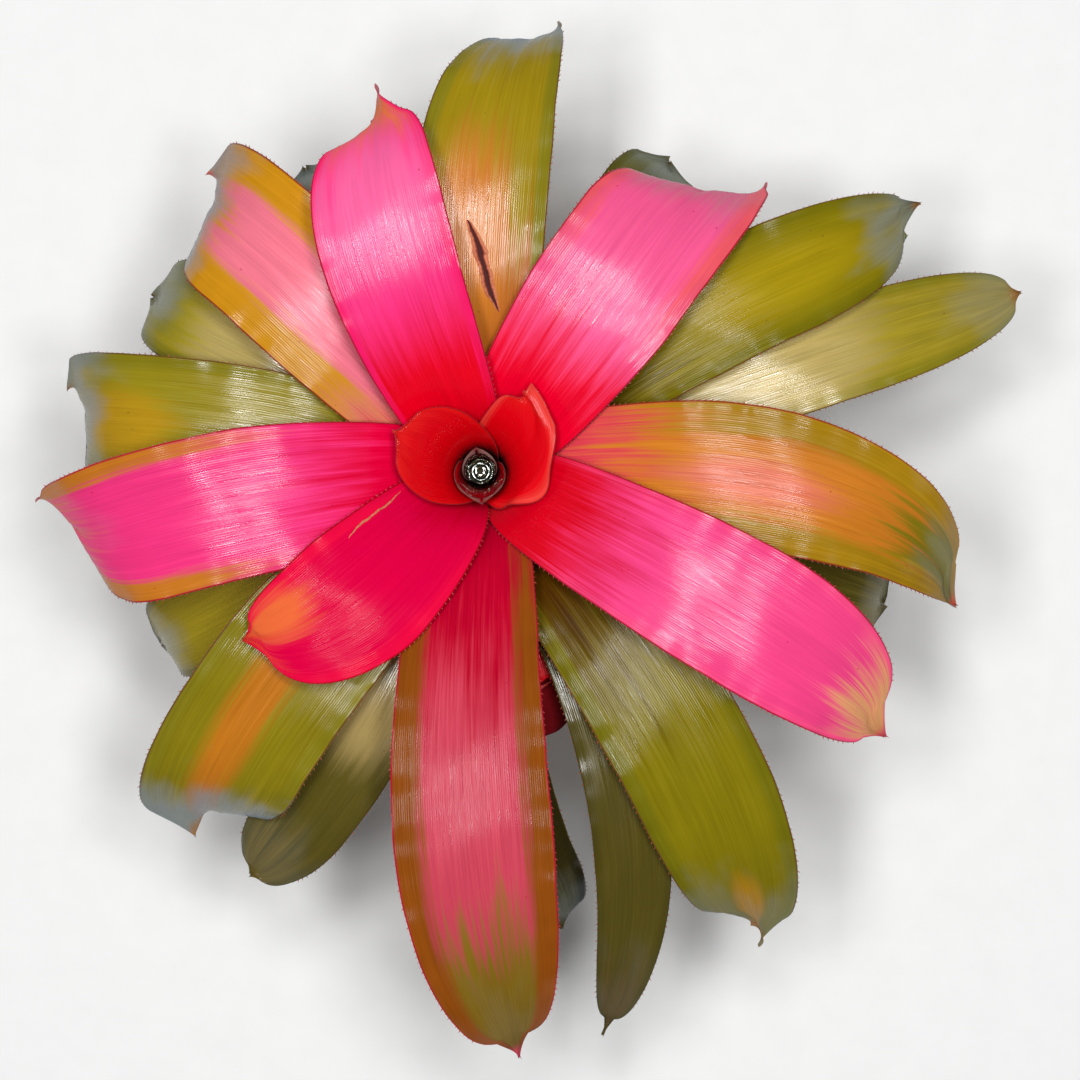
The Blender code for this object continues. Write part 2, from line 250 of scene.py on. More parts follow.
def shader_group(name, inputs, outputs):
    """A shader node group with named inputs and outputs, each with a kind and a first value."""
    tree = bpy.data.node_groups.new(name, "ShaderNodeTree")
    for label, value in inputs.items():
        kind = "colour" if isinstance(value, tuple) else "number"
        socket = tree.interface.new_socket(label, in_out="INPUT", socket_type=SOCKETS[kind])
        socket.default_value = value
    for label, kind in outputs.items():
        tree.interface.new_socket(label, in_out="OUTPUT", socket_type=SOCKETS[kind])
    entry = tree.nodes.new("NodeGroupInput")
    way_out = tree.nodes.new("NodeGroupOutput")
    return Wiring(tree), entry.outputs, way_out.inputs


def principled(name, **plain):
    """A material with a Principled shader, and its wiring."""
    material = bpy.data.materials.new(name)
    material.use_nodes = True
    shader = material.node_tree.nodes["Principled BSDF"]
    for label, value in plain.items():
        shader.inputs[label.replace("_", " ")].default_value = value
    return material, shader, Wiring(material.node_tree)


def finish_from(material, shader, wiring, group, values, bump_depth):
    """Places a group in a material and feeds its colour, roughness and height to the shader."""
    node = wiring.node("ShaderNodeGroup", node_tree=group)
    for label, value in values.items():
        node.inputs[label].default_value = value
    wiring.join(node.outputs["Colour"], shader.inputs["Base Color"])
    wiring.join(node.outputs["Roughness"], shader.inputs["Roughness"])
    wiring.bumped(shader, node.outputs["Height"], bump_depth)
    return material


print("tools ready")

# %% [markdown]
# ## The law of a leaf
# Every leaf follows one rule. It starts on the stem as a sheath that wraps round the younger leaves,
# rises as a quarter ellipse, opens over a short arc, and then falls evenly to its tip, where the end
# narrows to a drawn-out point. The solids were made by this rule from a table of sizes, one row for
# each leaf. The finished leaves repeat the rule with many more points, so they lie where their solids
# do, and the next cells add what the solids leave out.

# %% Sizes shared by all the leaves
POT_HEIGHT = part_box("pot")[1].z
STEM_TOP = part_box("stem")[1].z
STEM_TOP_RADIUS = 4.0 * MM
STEM_FOOT_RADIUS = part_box("stem")[1].x
MIX_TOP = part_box("potting_mix")[1].z
MIX_CENTRE = 115 * MM
STEM_CLEARANCE = 0.5 * MM
LEAF_THICKNESS = 0.8 * MM
WHORL_PITCH = 1.55 * MM
WHORL_DROP = 2.0 * MM
HEART_RADIUS = 6.0 * MM
SHEATH_HEIGHT = 24 * MM
FIRST_WHORL_BELOW_STEM_TOP = 2 * MM
OPENING_LENGTH = 22 * MM
WRAP_ENDS = 10 * MM
BLADE_STARTS = 72 * MM
CHANNEL_RADIUS = 150 * MM
BASE_SHARE = 0.74
WIDEST_AT = 0.62
HOOK_STARTS = 0.72
POINT_HOLLOW = 1.7
TIP_HALF_WIDTH = 0.6 * MM
CUP_WRAP = 90
HOLD = 4
NEVER_ZERO = 1e-9
MIDRIB_SAMPLES, SHEATH_SAMPLES = 400, 29
LENGTH_TRIES = 30

Leaf = namedtuple(
    "Leaf",
    "name whorl azimuth swing reach width rise end hook skew lean tip shoulder point wrap slot",
)
LEAVES = [
    Leaf("leaf_01_heart", 0, 100, 0, 7.6, 30, 88, 78, 0, 0, 0, 8, 0.50, 2, 150, "heart"),
    Leaf("leaf_02_heart", 1, 260, 14, 12.4, 42, 84, 68, 0, 0, 0, 12, 0.40, 3, 150, "heart"),
    Leaf("leaf_03_cup", 2, 160, -4, 39, 48, 78, 30, 0, 0, 0, 22, 0.30, 4, 150, "red"),
    Leaf("leaf_04_cup", 3, 10, 50, 38, 48, 74, 28, 0, 0, 0, 24, 0.30, 4, 140, "red"),
    Leaf("leaf_05_red", 4, 229.4, -8, 127, 61, 62, -18, -12, 0, 0.42, 62, 0.26, 8, 56, "red"),
    Leaf("leaf_06_pink", 4, 116, -9, 164, 57, 58, -30, -12, 8, 0.1, 60, 0.54, 16, 56, "pink"),
    Leaf("leaf_07_pink", 5, -28, -2, 210, 62, 50, -34, -8, 0, 0.4, 86, 0.31, 14, 60, "pink"),
    Leaf("leaf_08_pink", 5, 186.6, 5, 180, 64, 50, -34, -30, 5, 0.8, 50, 0.60, 10, 60, "pink"),
    Leaf("leaf_09_pink", 6, 54, 0, 160, 65, 49, -32, -18, 12, 0.8, 40, 0.70, 7, 60, "pink"),
    Leaf("leaf_10_pink", 6, 266.5, 7.5, 254, 68, 45, -30, -8, 0, 0, 110, 0.22, 14, 60, "pink"),
    Leaf("leaf_11_orange", 7, 132, 4, 168, 64, 41, -34, -42, 7, 0.35, 44, 0.70, 10, 60, "orange"),
    Leaf("leaf_12_orange", 7, 1.4, -9.5, 221, 65, 41, -32, -15, 0, 0.95, 160, 0.30, 14, 60, "orange"),
    Leaf("leaf_13_olive", 8, 223.6, 8, 195, 66, 37, -34, -36, 9, 0, 50, 0.62, 10, 60, "olive"),
    Leaf("leaf_14_olive", 8, 91, -4, 197, 58, 37, -34, -34, 4, 0.8, 95, 0.36, 12, 60, "olive"),
    Leaf("leaf_15_olive", 9, -50, -10, 236, 60, 33, -34, -10, -5, -0.1, 85, 0.50, 14, 60, "olive"),
    Leaf("leaf_16_olive", 9, 169, 3, 180, 54, 33, -32, -36, 4, 0.4, 30, 0.80, 8, 60, "olive"),
    Leaf("leaf_17_olive", 10, 36.7, -9, 222, 51, 25, -25, -20, 0, -0.6, 82, 0.32, 14, 60, "olive"),
    Leaf("leaf_18_dark", 10, 249, -9, 206, 42, 25, -36, 0, 0, 0, 45, 0.20, 4, 60, "dark"),
    Leaf("leaf_19_dark", 11, 120, 0, 157, 44, 25, -32, -26, 0, 0, 40, 0.60, 12, 60, "dark"),
    Leaf("leaf_20_dark", 11, -59, -19, 256, 34, 24, -34, 0, 0, 0, 100, 0.14, 10, 60, "dark"),
    Leaf("leaf_21_olive", 12, 18.4, 0, 252, 43, 15.5, -23, 0, 0, 0, 80, 0.20, 6, 40, "olive"),
    Leaf("leaf_22_dark", 12, 150, 2, 167, 46, 21, -28, -40, 0, 0, 40, 0.60, 12, 44, "dark"),
    Leaf("leaf_23_torn", 12, 283, 1, 103, 34, 18, -10, 0, 3, 0, 16, 0.90, 5, 40, "torn"),
    Leaf("leaf_24_dark", 13, 59, 0, 164, 43, 16, -34, -26, 0, 0, 40, 0.60, 12, 36, "dark"),
    Leaf("leaf_25_dark", 13, 208, 0, 164, 42, 16, -34, -40, 0, 0, 36, 0.60, 12, 50, "dark"),
    Leaf("leaf_26_dark", 13, -18, 0, 192, 46, 16, -36, -30, 0, 0, 40, 0.60, 12, 36, "dark"),
    Leaf("leaf_27_shaded", 14, 281, 0, 122, 50, 10, -16, 0, 0, 0, 32, 0.25, 3, 40, "shaded"),
    Leaf("leaf_28_dark", 15, 268, 12, 211, 46, 3, -38, -10, 0, 0, 45, 0.60, 12, 40, "dark"),
]
reaches = [leaf.reach for leaf in LEAVES]
print(len(LEAVES), "leaves, reaching", min(reaches), "to", max(reaches), "mm")


# %% The midrib
def stem_radius(height):
    share = min(1.0, (STEM_TOP - height) / (STEM_TOP - MIX_CENTRE))
    return STEM_TOP_RADIUS + (STEM_FOOT_RADIUS - STEM_TOP_RADIUS) * share


def elevation(leaf, share, length):
    """How steeply the midrib rises, in radians, at a share of the blade's length."""
    angle = leaf.rise + (leaf.end - leaf.rise) * share
    angle = angle + (90.0 - leaf.rise) * np.exp(-share * length / OPENING_LENGTH)
    angle = angle + leaf.hook * ease((share - HOOK_STARTS) / (1.0 - HOOK_STARTS))
    return np.radians(angle)


Midrib = namedtuple("Midrib", "arc radius height elevation length")


def midrib(leaf):
    """The midrib as a table against arc length, which is 0 at the top of the sheath."""
    samples = MIDRIB_SAMPLES
    foot = STEM_TOP - FIRST_WHORL_BELOW_STEM_TOP - WHORL_DROP * leaf.whorl
    inner = stem_radius(foot) + STEM_CLEARANCE
    outer = HEART_RADIUS + WHORL_PITCH * leaf.whorl
    middles = (np.arange(samples) + 0.5) / samples
    wanted = leaf.reach * MM - outer
    length = wanted
    for _ in range(LENGTH_TRIES):
        run = np.cos(elevation(leaf, middles, length)).mean() * length
        length *= 0.5 + 0.5 * wanted / run
    turn = np.linspace(0.0, 0.5 * math.pi, SHEATH_SAMPLES + 1)[:-1]
    lean = elevation(leaf, middles, length)
    radius = outer + np.concatenate([[0.0], np.cumsum(np.cos(lean)) * length / samples])
    height = foot + SHEATH_HEIGHT
    height = height + np.concatenate([[0.0], np.cumsum(np.sin(lean)) * length / samples])
    arc = np.linspace(0.0, length, samples + 1)
    return Midrib(
        np.concatenate([-SHEATH_HEIGHT * np.cos(turn), arc]),
        np.concatenate([inner + (outer - inner) * np.sin(turn), radius]),
        np.concatenate([foot + SHEATH_HEIGHT * (1.0 - np.cos(turn)), height]),
        np.concatenate([turn, elevation(leaf, arc / length, length)]),
        length,
    )


longest = max(LEAVES, key=lambda leaf: midrib(leaf).length)
print("longest blade:", longest.name, round(midrib(longest).length / MM), "mm")


# %% The upper face
def half_widths(leaf, radius, to_tip):
    """Half the width, with and without the narrowing of the end."""
    full = 0.5 * leaf.width * MM
    share = BASE_SHARE if leaf.wrap < CUP_WRAP else 1.0
    widest = full * (share + (1.0 - share) * ease(radius / (WIDEST_AT * leaf.reach * MM)))
    tip, point = leaf.tip * MM, leaf.point * MM
    pointed = leaf.shoulder * np.clip(to_tip / point, 0.0, 1.0) ** POINT_HOLLOW
    rise = np.clip((to_tip - point) / (tip - point), 0.0, 1.0)
    rounded = leaf.shoulder + (1.0 - leaf.shoulder) * np.sqrt(rise * (2.0 - rise))
    narrowed = np.where(to_tip < point, pointed, rounded)
    wrapped = math.radians(leaf.wrap) * radius

    def held(free):
        """No wider than the leaf can wrap round its own radius, with a smooth change."""
        both = wrapped ** -HOLD + (free + NEVER_ZERO) ** -HOLD
        return np.maximum(TIP_HALF_WIDTH, both ** (-1.0 / HOLD))

    return held(widest * narrowed), held(widest)


def upper_face(leaf, rib, arc, across):
    """Points of the upper face, and the distance of each to the midrib."""
    radius, height = np.interp(arc, rib.arc, rib.radius), np.interp(arc, rib.arc, rib.height)
    lean = np.interp(arc, rib.arc, rib.elevation)
    to_tip = rib.length - arc
    swung = np.radians(leaf.swing) * (radius / (leaf.reach * MM)) ** 2
    turn = math.radians(leaf.azimuth) + swung
    half, unnarrowed = half_widths(leaf, radius, to_tip)
    side = half * across
    round_axis = turn + side / radius
    wrapped = np.stack([radius * np.cos(round_axis), radius * np.sin(round_axis), height], -1)
    if leaf.wrap >= CUP_WRAP:
        return wrapped, side
    heading = turn + np.arctan(2.0 * swung)
    nought, one = np.zeros_like(heading), np.ones_like(heading)
    forward = np.stack([np.cos(heading), np.sin(heading), nought], -1)
    left = np.stack([-np.sin(heading), np.cos(heading), nought], -1)
    upright = np.stack([nought, nought, one], -1)
    normal = upright * np.cos(lean)[..., None] - forward * np.sin(lean)[..., None]
    bow = (side - leaf.lean * (unnarrowed - half)) / CHANNEL_RADIUS
    flat = np.stack([radius * np.cos(turn), radius * np.sin(turn), height], -1)
    flat = flat + left * (CHANNEL_RADIUS * np.sin(bow))[..., None]
    flat = flat + normal * (CHANNEL_RADIUS * (1.0 - np.cos(bow)))[..., None]
    lag = leaf.skew * MM * across * ease(1.0 - to_tip / (2.0 * leaf.tip * MM))
    flat = flat - forward * lag[..., None]
    opens = HEART_RADIUS + WHORL_PITCH * leaf.whorl + WRAP_ENDS
    share = ease((radius - opens) / (BLADE_STARTS - opens))[..., None]
    return wrapped * (1.0 - share) + flat * share, side


# %% [markdown]
# ## What a real leaf adds
# A real blade is never quite smooth. Shallow folds run along it between its veins, it wavers slowly
# from side to side, and its thin margin waves a little more. Folds and waves move points by a
# millimetre or so along the surface's own normal. At many ends the corners stand forward as two
# horns beside the point. One leaf is torn off short, and one edge of a cup leaf curls outwards. Each
# kind of detail is a short function of the place on the leaf.

# %% Slow waves, folds and margins
WAVE_HEIGHT = 0.7 * MM
MARGIN_WAVE = 0.9 * MM
FOLD_DEPTH = 0.09 * MM
FOLD_PITCH = 4.6 * MM
CREASE_DEPTH = 1.6 * MM
CREASE_WIDTH = 4.0 * MM
WAVE_LENGTH, MARGIN_WAVE_LENGTH, FOLD_DRIFT_LENGTH = 42 * MM, 13 * MM, 60 * MM
FOLD_DRIFT = 0.6
WAVES_START, WAVES_FULL = 30 * MM, 80 * MM


def waver(x, seed):
    """A smooth wavering from about -1 to 1, different for each seed."""
    one = np.sin(1.7 * x + 1.3 * seed) + 0.6 * np.sin(3.1 * x + 2.9 * seed)
    return (one + 0.35 * np.sin(6.3 * x + 5.1 * seed)) / 1.5


def surface_detail(leaf, seed, arc, across, side, to_tip):
    """The height of folds, waves and the tip's crease above the smooth face."""
    grown = ease((arc - WAVES_START) / (WAVES_FULL - WAVES_START))
    inside = 1.0 - np.abs(across) ** 6
    wave = WAVE_HEIGHT * waver(arc / WAVE_LENGTH + 0.8 * across, seed)
    either_side = seed + 0.4 * np.sign(across)
    margin = MARGIN_WAVE * np.abs(across) ** 4 * waver(arc / MARGIN_WAVE_LENGTH, either_side)
    drift = FOLD_DRIFT * waver(arc / FOLD_DRIFT_LENGTH, seed)
    fold = FOLD_DEPTH * np.cos(math.tau * side / FOLD_PITCH + drift)
    ended = 1.0 - ease(to_tip / (leaf.tip * MM))
    crease = -CREASE_DEPTH * np.exp(-((side / CREASE_WIDTH) ** 2)) * ended
    return grown * (wave + margin + inside * fold) + crease * inside


# %% Horns, the tear and the curled edge
HORNS = {"06": 2.0, "08": 2.5, "09": 1.5, "11": 4.0, "13": 4.5, "14": 1.5, "16": 4.0, "17": 2.0,
         "22": 2.0, "24": 2.0, "25": 2.0, "26": 4.0, "12": 2.0, "15": 2.0}
HORN_REACH = 5.0 * MM
TEAR_DEPTH, TEAR_REACH, TEAR_RAGS = 9 * MM, 40 * MM, 2.0 * MM
TEAR_MIDDLE, TEAR_HALF = 0.15, 0.45
CURLED = "04"
CURL_OUT, CURL_FALL, CURL_FROM = 4.5 * MM, 1.6 * MM, 0.68
CURL_BEGINS, CURL_GROWS = 0.25, 0.3
LOBE_MEAN, LOBE_SWING, LOBE_LENGTH, LOBE_SHIFT = 0.66, 0.5, 2.6 * MM, 0.6


def number(leaf):
    return leaf.name.split("_")[1]


def advance(leaf, seed, across, to_tip):
    """How far points move along the leaf: forward into the horns, or back from a tear."""
    near = np.exp(-(((to_tip - leaf.point * MM) / HORN_REACH) ** 2))
    horn = HORNS.get(number(leaf), 0.0) * MM * np.abs(across) ** 5 * near
    if leaf.slot != "torn":
        return horn
    bite = TEAR_DEPTH * np.exp(-(((across - TEAR_MIDDLE) / TEAR_HALF) ** 2))
    bite = bite + TEAR_RAGS * waver(6.0 * across, 2.0)
    return -bite * ease(1.0 - to_tip / TEAR_REACH)


def curl(leaf, arc, rib, across):
    """The outward roll of one margin of the cup, as a distance and a fall."""
    if number(leaf) != CURLED:
        return np.zeros_like(arc), np.zeros_like(arc)
    rolled = ease((-across - CURL_FROM) / (1.0 - CURL_FROM))
    rolled = rolled * ease((arc / rib.length - CURL_BEGINS) / CURL_GROWS)
    lobes = LOBE_MEAN + LOBE_SWING * np.sin(arc / LOBE_LENGTH + LOBE_SHIFT)
    return CURL_OUT * rolled * lobes, -CURL_FALL * rolled ** 2 * lobes


print(len(HORNS), "horned ends")

# %% [markdown]
# ## Building the blades
# Each leaf is a grid of points, rows along it and columns across it. The rows lie closer at the tip,
# where the outline turns most. A second grid under the first gives the leaf its thickness, thin at
# the margins and full at the middle, and a strip of faces joins the two all round, so the leaf is
# one closed shell. The grid also carries numbers that the finish needs: the place along and across
# the leaf, how steeply the surface hangs, and which face is the underside.

# %% Leaf meshes
ROW_STEP = 1.9 * MM
TIP_STEP = 0.7 * MM
COLUMN_STEP = 1.45 * MM
SHEATH_ROWS, FEWEST_BLADE_ROWS, FEWEST_TIP_ROWS, FEWEST_HALF_COLUMNS = 9, 8, 12, 12
TIP_ROW_SHARE, TIP_CROWDING, LONGEST_TIP = 0.75, 1.15, 0.4
CUP_COLUMNS = 61
MARGIN_CROWDING = 0.35
MARGIN_THINNING = 0.6
UV_UNIT = 100 * MM
NEXT_SHEET = np.array([2.0, 0.0])


def grid_faces(rows, columns, first, flip):
    """Quads of a grid of points numbered row by row."""
    index = first + np.arange(rows * columns).reshape(rows, columns)
    a, b, c, d = index[:-1, :-1], index[:-1, 1:], index[1:, 1:], index[1:, :-1]
    quads = np.stack([a, d, c, b] if flip else [a, b, c, d], -1)
    return quads.reshape(-1, 4).tolist()


def shell_faces(rows, columns):
    """Faces of an upper grid, a lower grid and the strip round them, and the strip's length."""
    count = rows * columns
    faces = grid_faces(rows, columns, 0, True) + grid_faces(rows, columns, count, False)
    index = np.arange(count).reshape(rows, columns)
    loop = np.concatenate([index[0, :-1], index[:-1, -1], index[-1, :0:-1], index[:0:-1, 0]])
    after = np.roll(loop, -1)
    return faces + np.stack([loop, after, after + count, loop + count], -1).tolist(), len(loop)


def unit(vectors):
    return vectors / (np.linalg.norm(vectors, axis=-1, keepdims=True) + 1e-12)


def rows_along(leaf, rib):
    """Arc lengths of the rows, from the stem to the tip."""
    fine = min(leaf.tip * MM, LONGEST_TIP * rib.length)
    blade_rows = max(FEWEST_BLADE_ROWS, round((rib.length - fine) / ROW_STEP))
    tip_rows = max(FEWEST_TIP_ROWS, round(fine / TIP_STEP * TIP_ROW_SHARE))
    sheath = np.linspace(-SHEATH_HEIGHT, 0.0, SHEATH_ROWS + 1)[:-1]
    blade = np.linspace(0.0, rib.length - fine, blade_rows)
    spread = np.linspace(1.0, 0.0, tip_rows)[1:]
    return np.concatenate([sheath, blade, rib.length - fine * spread ** TIP_CROWDING])


Blade = namedtuple("Blade", "leaf obj margins")


def make_blade(leaf, seed):
    rib = midrib(leaf)
    arcs = rows_along(leaf, rib)
    if leaf.wrap >= CUP_WRAP:
        across = np.linspace(-1.0, 1.0, CUP_COLUMNS)
    else:
        half_columns = max(FEWEST_HALF_COLUMNS, round(leaf.width * MM / COLUMN_STEP / 2))
        even = np.linspace(-1.0, 1.0, 2 * half_columns + 1)
        across = np.sin(0.5 * math.pi * even) * MARGIN_CROWDING + even * (1.0 - MARGIN_CROWDING)
    rows, columns = len(arcs), len(across)
    arc, across = np.meshgrid(arcs, across, indexing="ij")
    to_tip = rib.length - arc
    moved = np.minimum(arc + advance(leaf, seed, across, to_tip), rib.length)
    smooth, side = upper_face(leaf, rib, np.where(arc > 0, moved, arc), across)
    along_run, across_run = np.gradient(smooth, axis=0), np.gradient(smooth, axis=1)
    normal = unit(np.cross(along_run, across_run))
    lift = surface_detail(leaf, seed, arc, across, side, to_tip)
    upper = smooth + normal * lift[..., None]
    out, fall = curl(leaf, arc, rib, across)
    radial = unit(upper * np.array([1.0, 1.0, 0.0]))
    upper = upper + radial * out[..., None] + np.array([0.0, 0.0, 1.0]) * fall[..., None]
    thin = LEAF_THICKNESS * (1.0 - MARGIN_THINNING * np.abs(across) ** 10)
    lower = upper - normal * thin[..., None]
    points = np.clip(np.concatenate([upper.reshape(-1, 3), lower.reshape(-1, 3)]), CAD_LOW, CAD_HIGH)
    faces, strip = shell_faces(rows, columns)
    obj = mesh_object("blade_" + leaf.name[5:], points, faces)
    obj.data.polygons.foreach_set("use_smooth", [True] * (len(faces) - strip) + [False] * strip)

    along = np.clip(arc / rib.length, 0.0, 1.0)
    fields = {"along": along, "across": across, "steep": 1.0 - np.abs(normal[..., 2])}
    for label, field in fields.items():
        point_layer(obj, label, np.tile(field.reshape(-1), 2))
    point_layer(obj, "under", np.repeat([0.0, 1.0], rows * columns))
    uv = np.stack([0.5 * leaf.width * MM * across / UV_UNIT, arc / UV_UNIT + seed], -1).reshape(-1, 2)
    uv = np.concatenate([uv, uv + NEXT_SHEET])
    corners = np.array([v for face in faces for v in face])
    layer = obj.data.uv_layers.new(name="UVMap")
    layer.data.foreach_set("uv", uv[corners].astype(np.float32).ravel())

    outward, onward = unit(across_run), unit(along_run)
    margins = [
        (upper[:, column] - 0.5 * normal[:, column] * thin[:, column, None], sign * outward[:, column],
         onward[:, column], arcs / rib.length)
        for column, sign in ((0, -1.0), (-1, 1.0))
    ]
    return Blade(leaf, obj, margins)


blades = [make_blade(leaf, i + 1) for i, leaf in enumerate(LEAVES)]
triangles = sum(len(p.vertices) - 2 for blade in blades for p in blade.obj.data.polygons)
print(len(blades), "blades,", triangles, "triangles")

# %% How far each blade's box lies from its solid's
worst = (0.0, "")
for blade in blades:
    co = np.array([v.co for v in blade.obj.data.vertices])
    low, high = (np.array(corner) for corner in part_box(blade.leaf.name))
    apart = max(np.abs(co.min(0) - low).max(), np.abs(co.max(0) - high).max())
    worst = max(worst, (round(apart / MM, 2), blade.leaf.name))
print("largest difference between a blade's box and its solid's:", worst, "mm")

# %% [markdown]
# ## Leaf finish
# All the leaves share one skin. Its colour runs from the heart through the body to the end, and the
# borders between those zones are ragged, because pigment follows the veins. The margins are another
# colour, a patch may lie anywhere, and a thin line edges the leaf; on some leaves that patch is a
# painted highlight. Fine streaks lighten and darken the whole. A blue-grey of painted sheen, together
# with the leaf's bloom of wax, covers the steep hanging parts and the ends, and the underside is
# duller. Every one of those is an input of a single node group, so 28 leaves need only one wiring.

# %% Leaf skin group
SKIN_INPUTS = {
    "Heart colour": colour(216, 0, 20), "Body colour": colour(235, 60, 125),
    "End colour": colour(200, 130, 30), "Margin colour": colour(190, 120, 30),
    "Patch colour": colour(200, 120, 40), "Line colour": colour(150, 20, 20),
    "Under colour": colour(150, 110, 90), "Bloom colour": colour(124, 138, 152),
    "Tip colour": colour(222, 70, 96),
    "Body from": 0.3, "End from": 0.85, "Blend": 0.12,
    "Ragged": 0.1, "Margin width": 0.2, "Margin from": 0.3, "Patch along": 0.5,
    "Patch across": 0.0, "Patch length": 0.0, "Patch width": 0.3, "Streaks": 0.2, "Bloom": 0.8,
    "Seed": 0.0,
}
skin, given, result = shader_group(
    "leaf_skin", SKIN_INPUTS, {"Colour": "colour", "Roughness": "number", "Height": "number"}
)
uv = skin.node("ShaderNodeSeparateXYZ", {0: skin.node("ShaderNodeUVMap", uv_map="UVMap").outputs[0]})
u, v = uv.outputs[0], uv.outputs[1]
along, across = skin.attribute("along"), skin.attribute("across")
seed = given["Seed"]


def pattern(over_width, over_length, detail=2.0):
    """Noise drawn out along the leaf. The two scales count its cells in 100 mm."""
    drawn_out = skin.vector(skin.times(u, over_width), skin.times(v, over_length), seed)
    return skin.noise(drawn_out, 1.0, detail)


fine = pattern(110.0, 2.6, 3.0)
broad = pattern(26.0, 1.3)
blotch = pattern(6.0, 3.4)
print("three patterns: fine streaks, broad streaks and blotches")

# %% Zones of colour along and across the leaf
BROAD_BLUR, FINE_BLUR, BLOTCH_BLUR = 0.7, 0.6, 0.35
EDGE_BLUR, MARGIN_SOFTNESS, MARGIN_START_SOFTNESS = 0.14, 0.1, 0.15
END_SHARPER = 0.6
PATCH_OUTSIDE, PATCH_INSIDE, PATCH_BLUR = 1.25, 0.45, 0.35
NO_PATCH_LENGTH = 0.0001

blur = skin.math("ADD", skin.times(broad, BROAD_BLUR), skin.times(fine, FINE_BLUR))
blur = skin.scaled(blotch, BLOTCH_BLUR, blur)
ragged = skin.scaled(blur, given["Ragged"], along)


def border(wiring, value, middle, half):
    """A soft border at a place, as wide to each side as half."""
    return wiring.step(value, wiring.math("SUBTRACT", middle, half), wiring.math("ADD", middle, half))


tint = skin.mix(border(skin, ragged, given["Body from"], given["Blend"]),
                given["Heart colour"], given["Body colour"])
ended = border(skin, ragged, given["End from"], skin.times(given["Blend"], END_SHARPER))
tint = skin.mix(ended, tint, given["End colour"])
edge = skin.math("ABSOLUTE", across)
edge_blur = skin.scaled(blur, EDGE_BLUR, edge)
margin_at = skin.math("SUBTRACT", 1.0, given["Margin width"])
margin = skin.times(border(skin, edge_blur, margin_at, MARGIN_SOFTNESS),
                   border(skin, ragged, given["Margin from"], MARGIN_START_SOFTNESS))
tint = skin.mix(margin, tint, given["Margin colour"])
# On leaves 06, 18, 21 and 22 this patch is a painted highlight; on the others it is a patch of the leaf's
# own colour.
off_along = skin.math("DIVIDE", skin.math("SUBTRACT", along, given["Patch along"]),
                      skin.math("ADD", given["Patch length"], NO_PATCH_LENGTH))
off_across = skin.math("DIVIDE", skin.math("SUBTRACT", across, given["Patch across"]), given["Patch width"])
off = skin.math("SQRT", skin.math("ADD", skin.times(off_along, off_along),
                                  skin.times(off_across, off_across)))
off = skin.scaled(blur, PATCH_BLUR, off)
tint = skin.mix(skin.step(off, PATCH_OUTSIDE, PATCH_INSIDE), tint, given["Patch colour"])
print("zones wired")

# %% Line, streaks, flecks, bloom and underside
LINE_FROM, LINE_FULL = 0.968, 0.992
FINE_LIGHT, BROAD_LIGHT, BLOTCH_LIGHT = 0.8, 0.5, 0.45
FLECK_SCALE, FLECK_RIM, FLECK_CORE, FLECK_SHARE = 9.0, 0.05, 0.025, 0.6
HANGS_FROM, HANGS_FULL, HANGING_BLUR = 0.3, 0.72, 0.12
FADES_FROM, FADES_FULL, FADING_BLUR, MOST_FADED = 0.82, 0.96, 0.1, 0.8
TIP_FROM, TIP_FULL, TIP_SHARE = 0.966, 0.99, 0.85
SCALE_SIZE, SCALE_COLOUR, SCALE_SHARE, DULL_SHARE = 160.0, colour(168, 168, 156), 0.5, 0.8
ROUGHNESS, FINE_ROUGHNESS, UNDER_ROUGHNESS, SHEEN_AND_BLOOM_ROUGHNESS = 0.21, 0.16, 0.18, 0.12
RIB_PITCH, RIB_WANDER, RIB_HEIGHT = 0.0095, 0.8, 0.45

tint = skin.mix(skin.step(edge, LINE_FROM, LINE_FULL), tint, given["Line colour"])
light = skin.math("ADD", skin.times(fine, FINE_LIGHT), skin.times(broad, BROAD_LIGHT))
light = skin.scaled(blotch, BLOTCH_LIGHT, light)
light = skin.scaled(light, given["Streaks"], 1.0)
tint = skin.mix(1.0, tint, skin.vector(light, light, light), "MULTIPLY")
dots = skin.node("ShaderNodeTexVoronoi", {"Vector": skin.vector(u, v, seed), "Scale": FLECK_SCALE})
fleck = skin.step(dots.outputs["Distance"], FLECK_RIM, FLECK_CORE)
tint = skin.mix(skin.times(fleck, FLECK_SHARE), tint, given["Line colour"])
# The blue-grey on steep hanging parts and towards the ends is a painted sheen of the sky, together with the
# leaf's bloom of wax.
hanging = skin.scaled(blotch, HANGING_BLUR, skin.attribute("steep"))
ending = skin.step(skin.scaled(blotch, FADING_BLUR, along), FADES_FROM, FADES_FULL)
ending = skin.times(ending, MOST_FADED)
sheen_and_bloom = skin.math("MAXIMUM", skin.step(hanging, HANGS_FROM, HANGS_FULL), ending)
sheen_and_bloom = skin.times(sheen_and_bloom, given["Bloom"])
tint = skin.mix(sheen_and_bloom, tint, given["Bloom colour"])
tint = skin.mix(skin.times(skin.step(along, TIP_FROM, TIP_FULL), TIP_SHARE), tint, given["Tip colour"])
under = skin.attribute("under")
scales = skin.node("ShaderNodeTexNoise", {"Vector": skin.vector(u, v, seed), "Scale": SCALE_SIZE})
scaly = skin.times(scales.outputs["Fac"], SCALE_SHARE)
dull = skin.mix(scaly, given["Under colour"], SCALE_COLOUR)
tint = skin.mix(skin.times(under, DULL_SHARE), tint, dull)
skin.join(tint, result["Colour"])
rough = skin.scaled(fine, FINE_ROUGHNESS, ROUGHNESS)
rough = skin.scaled(under, UNDER_ROUGHNESS, rough)
skin.join(skin.scaled(sheen_and_bloom, SHEEN_AND_BLOOM_ROUGHNESS, rough), result["Roughness"])
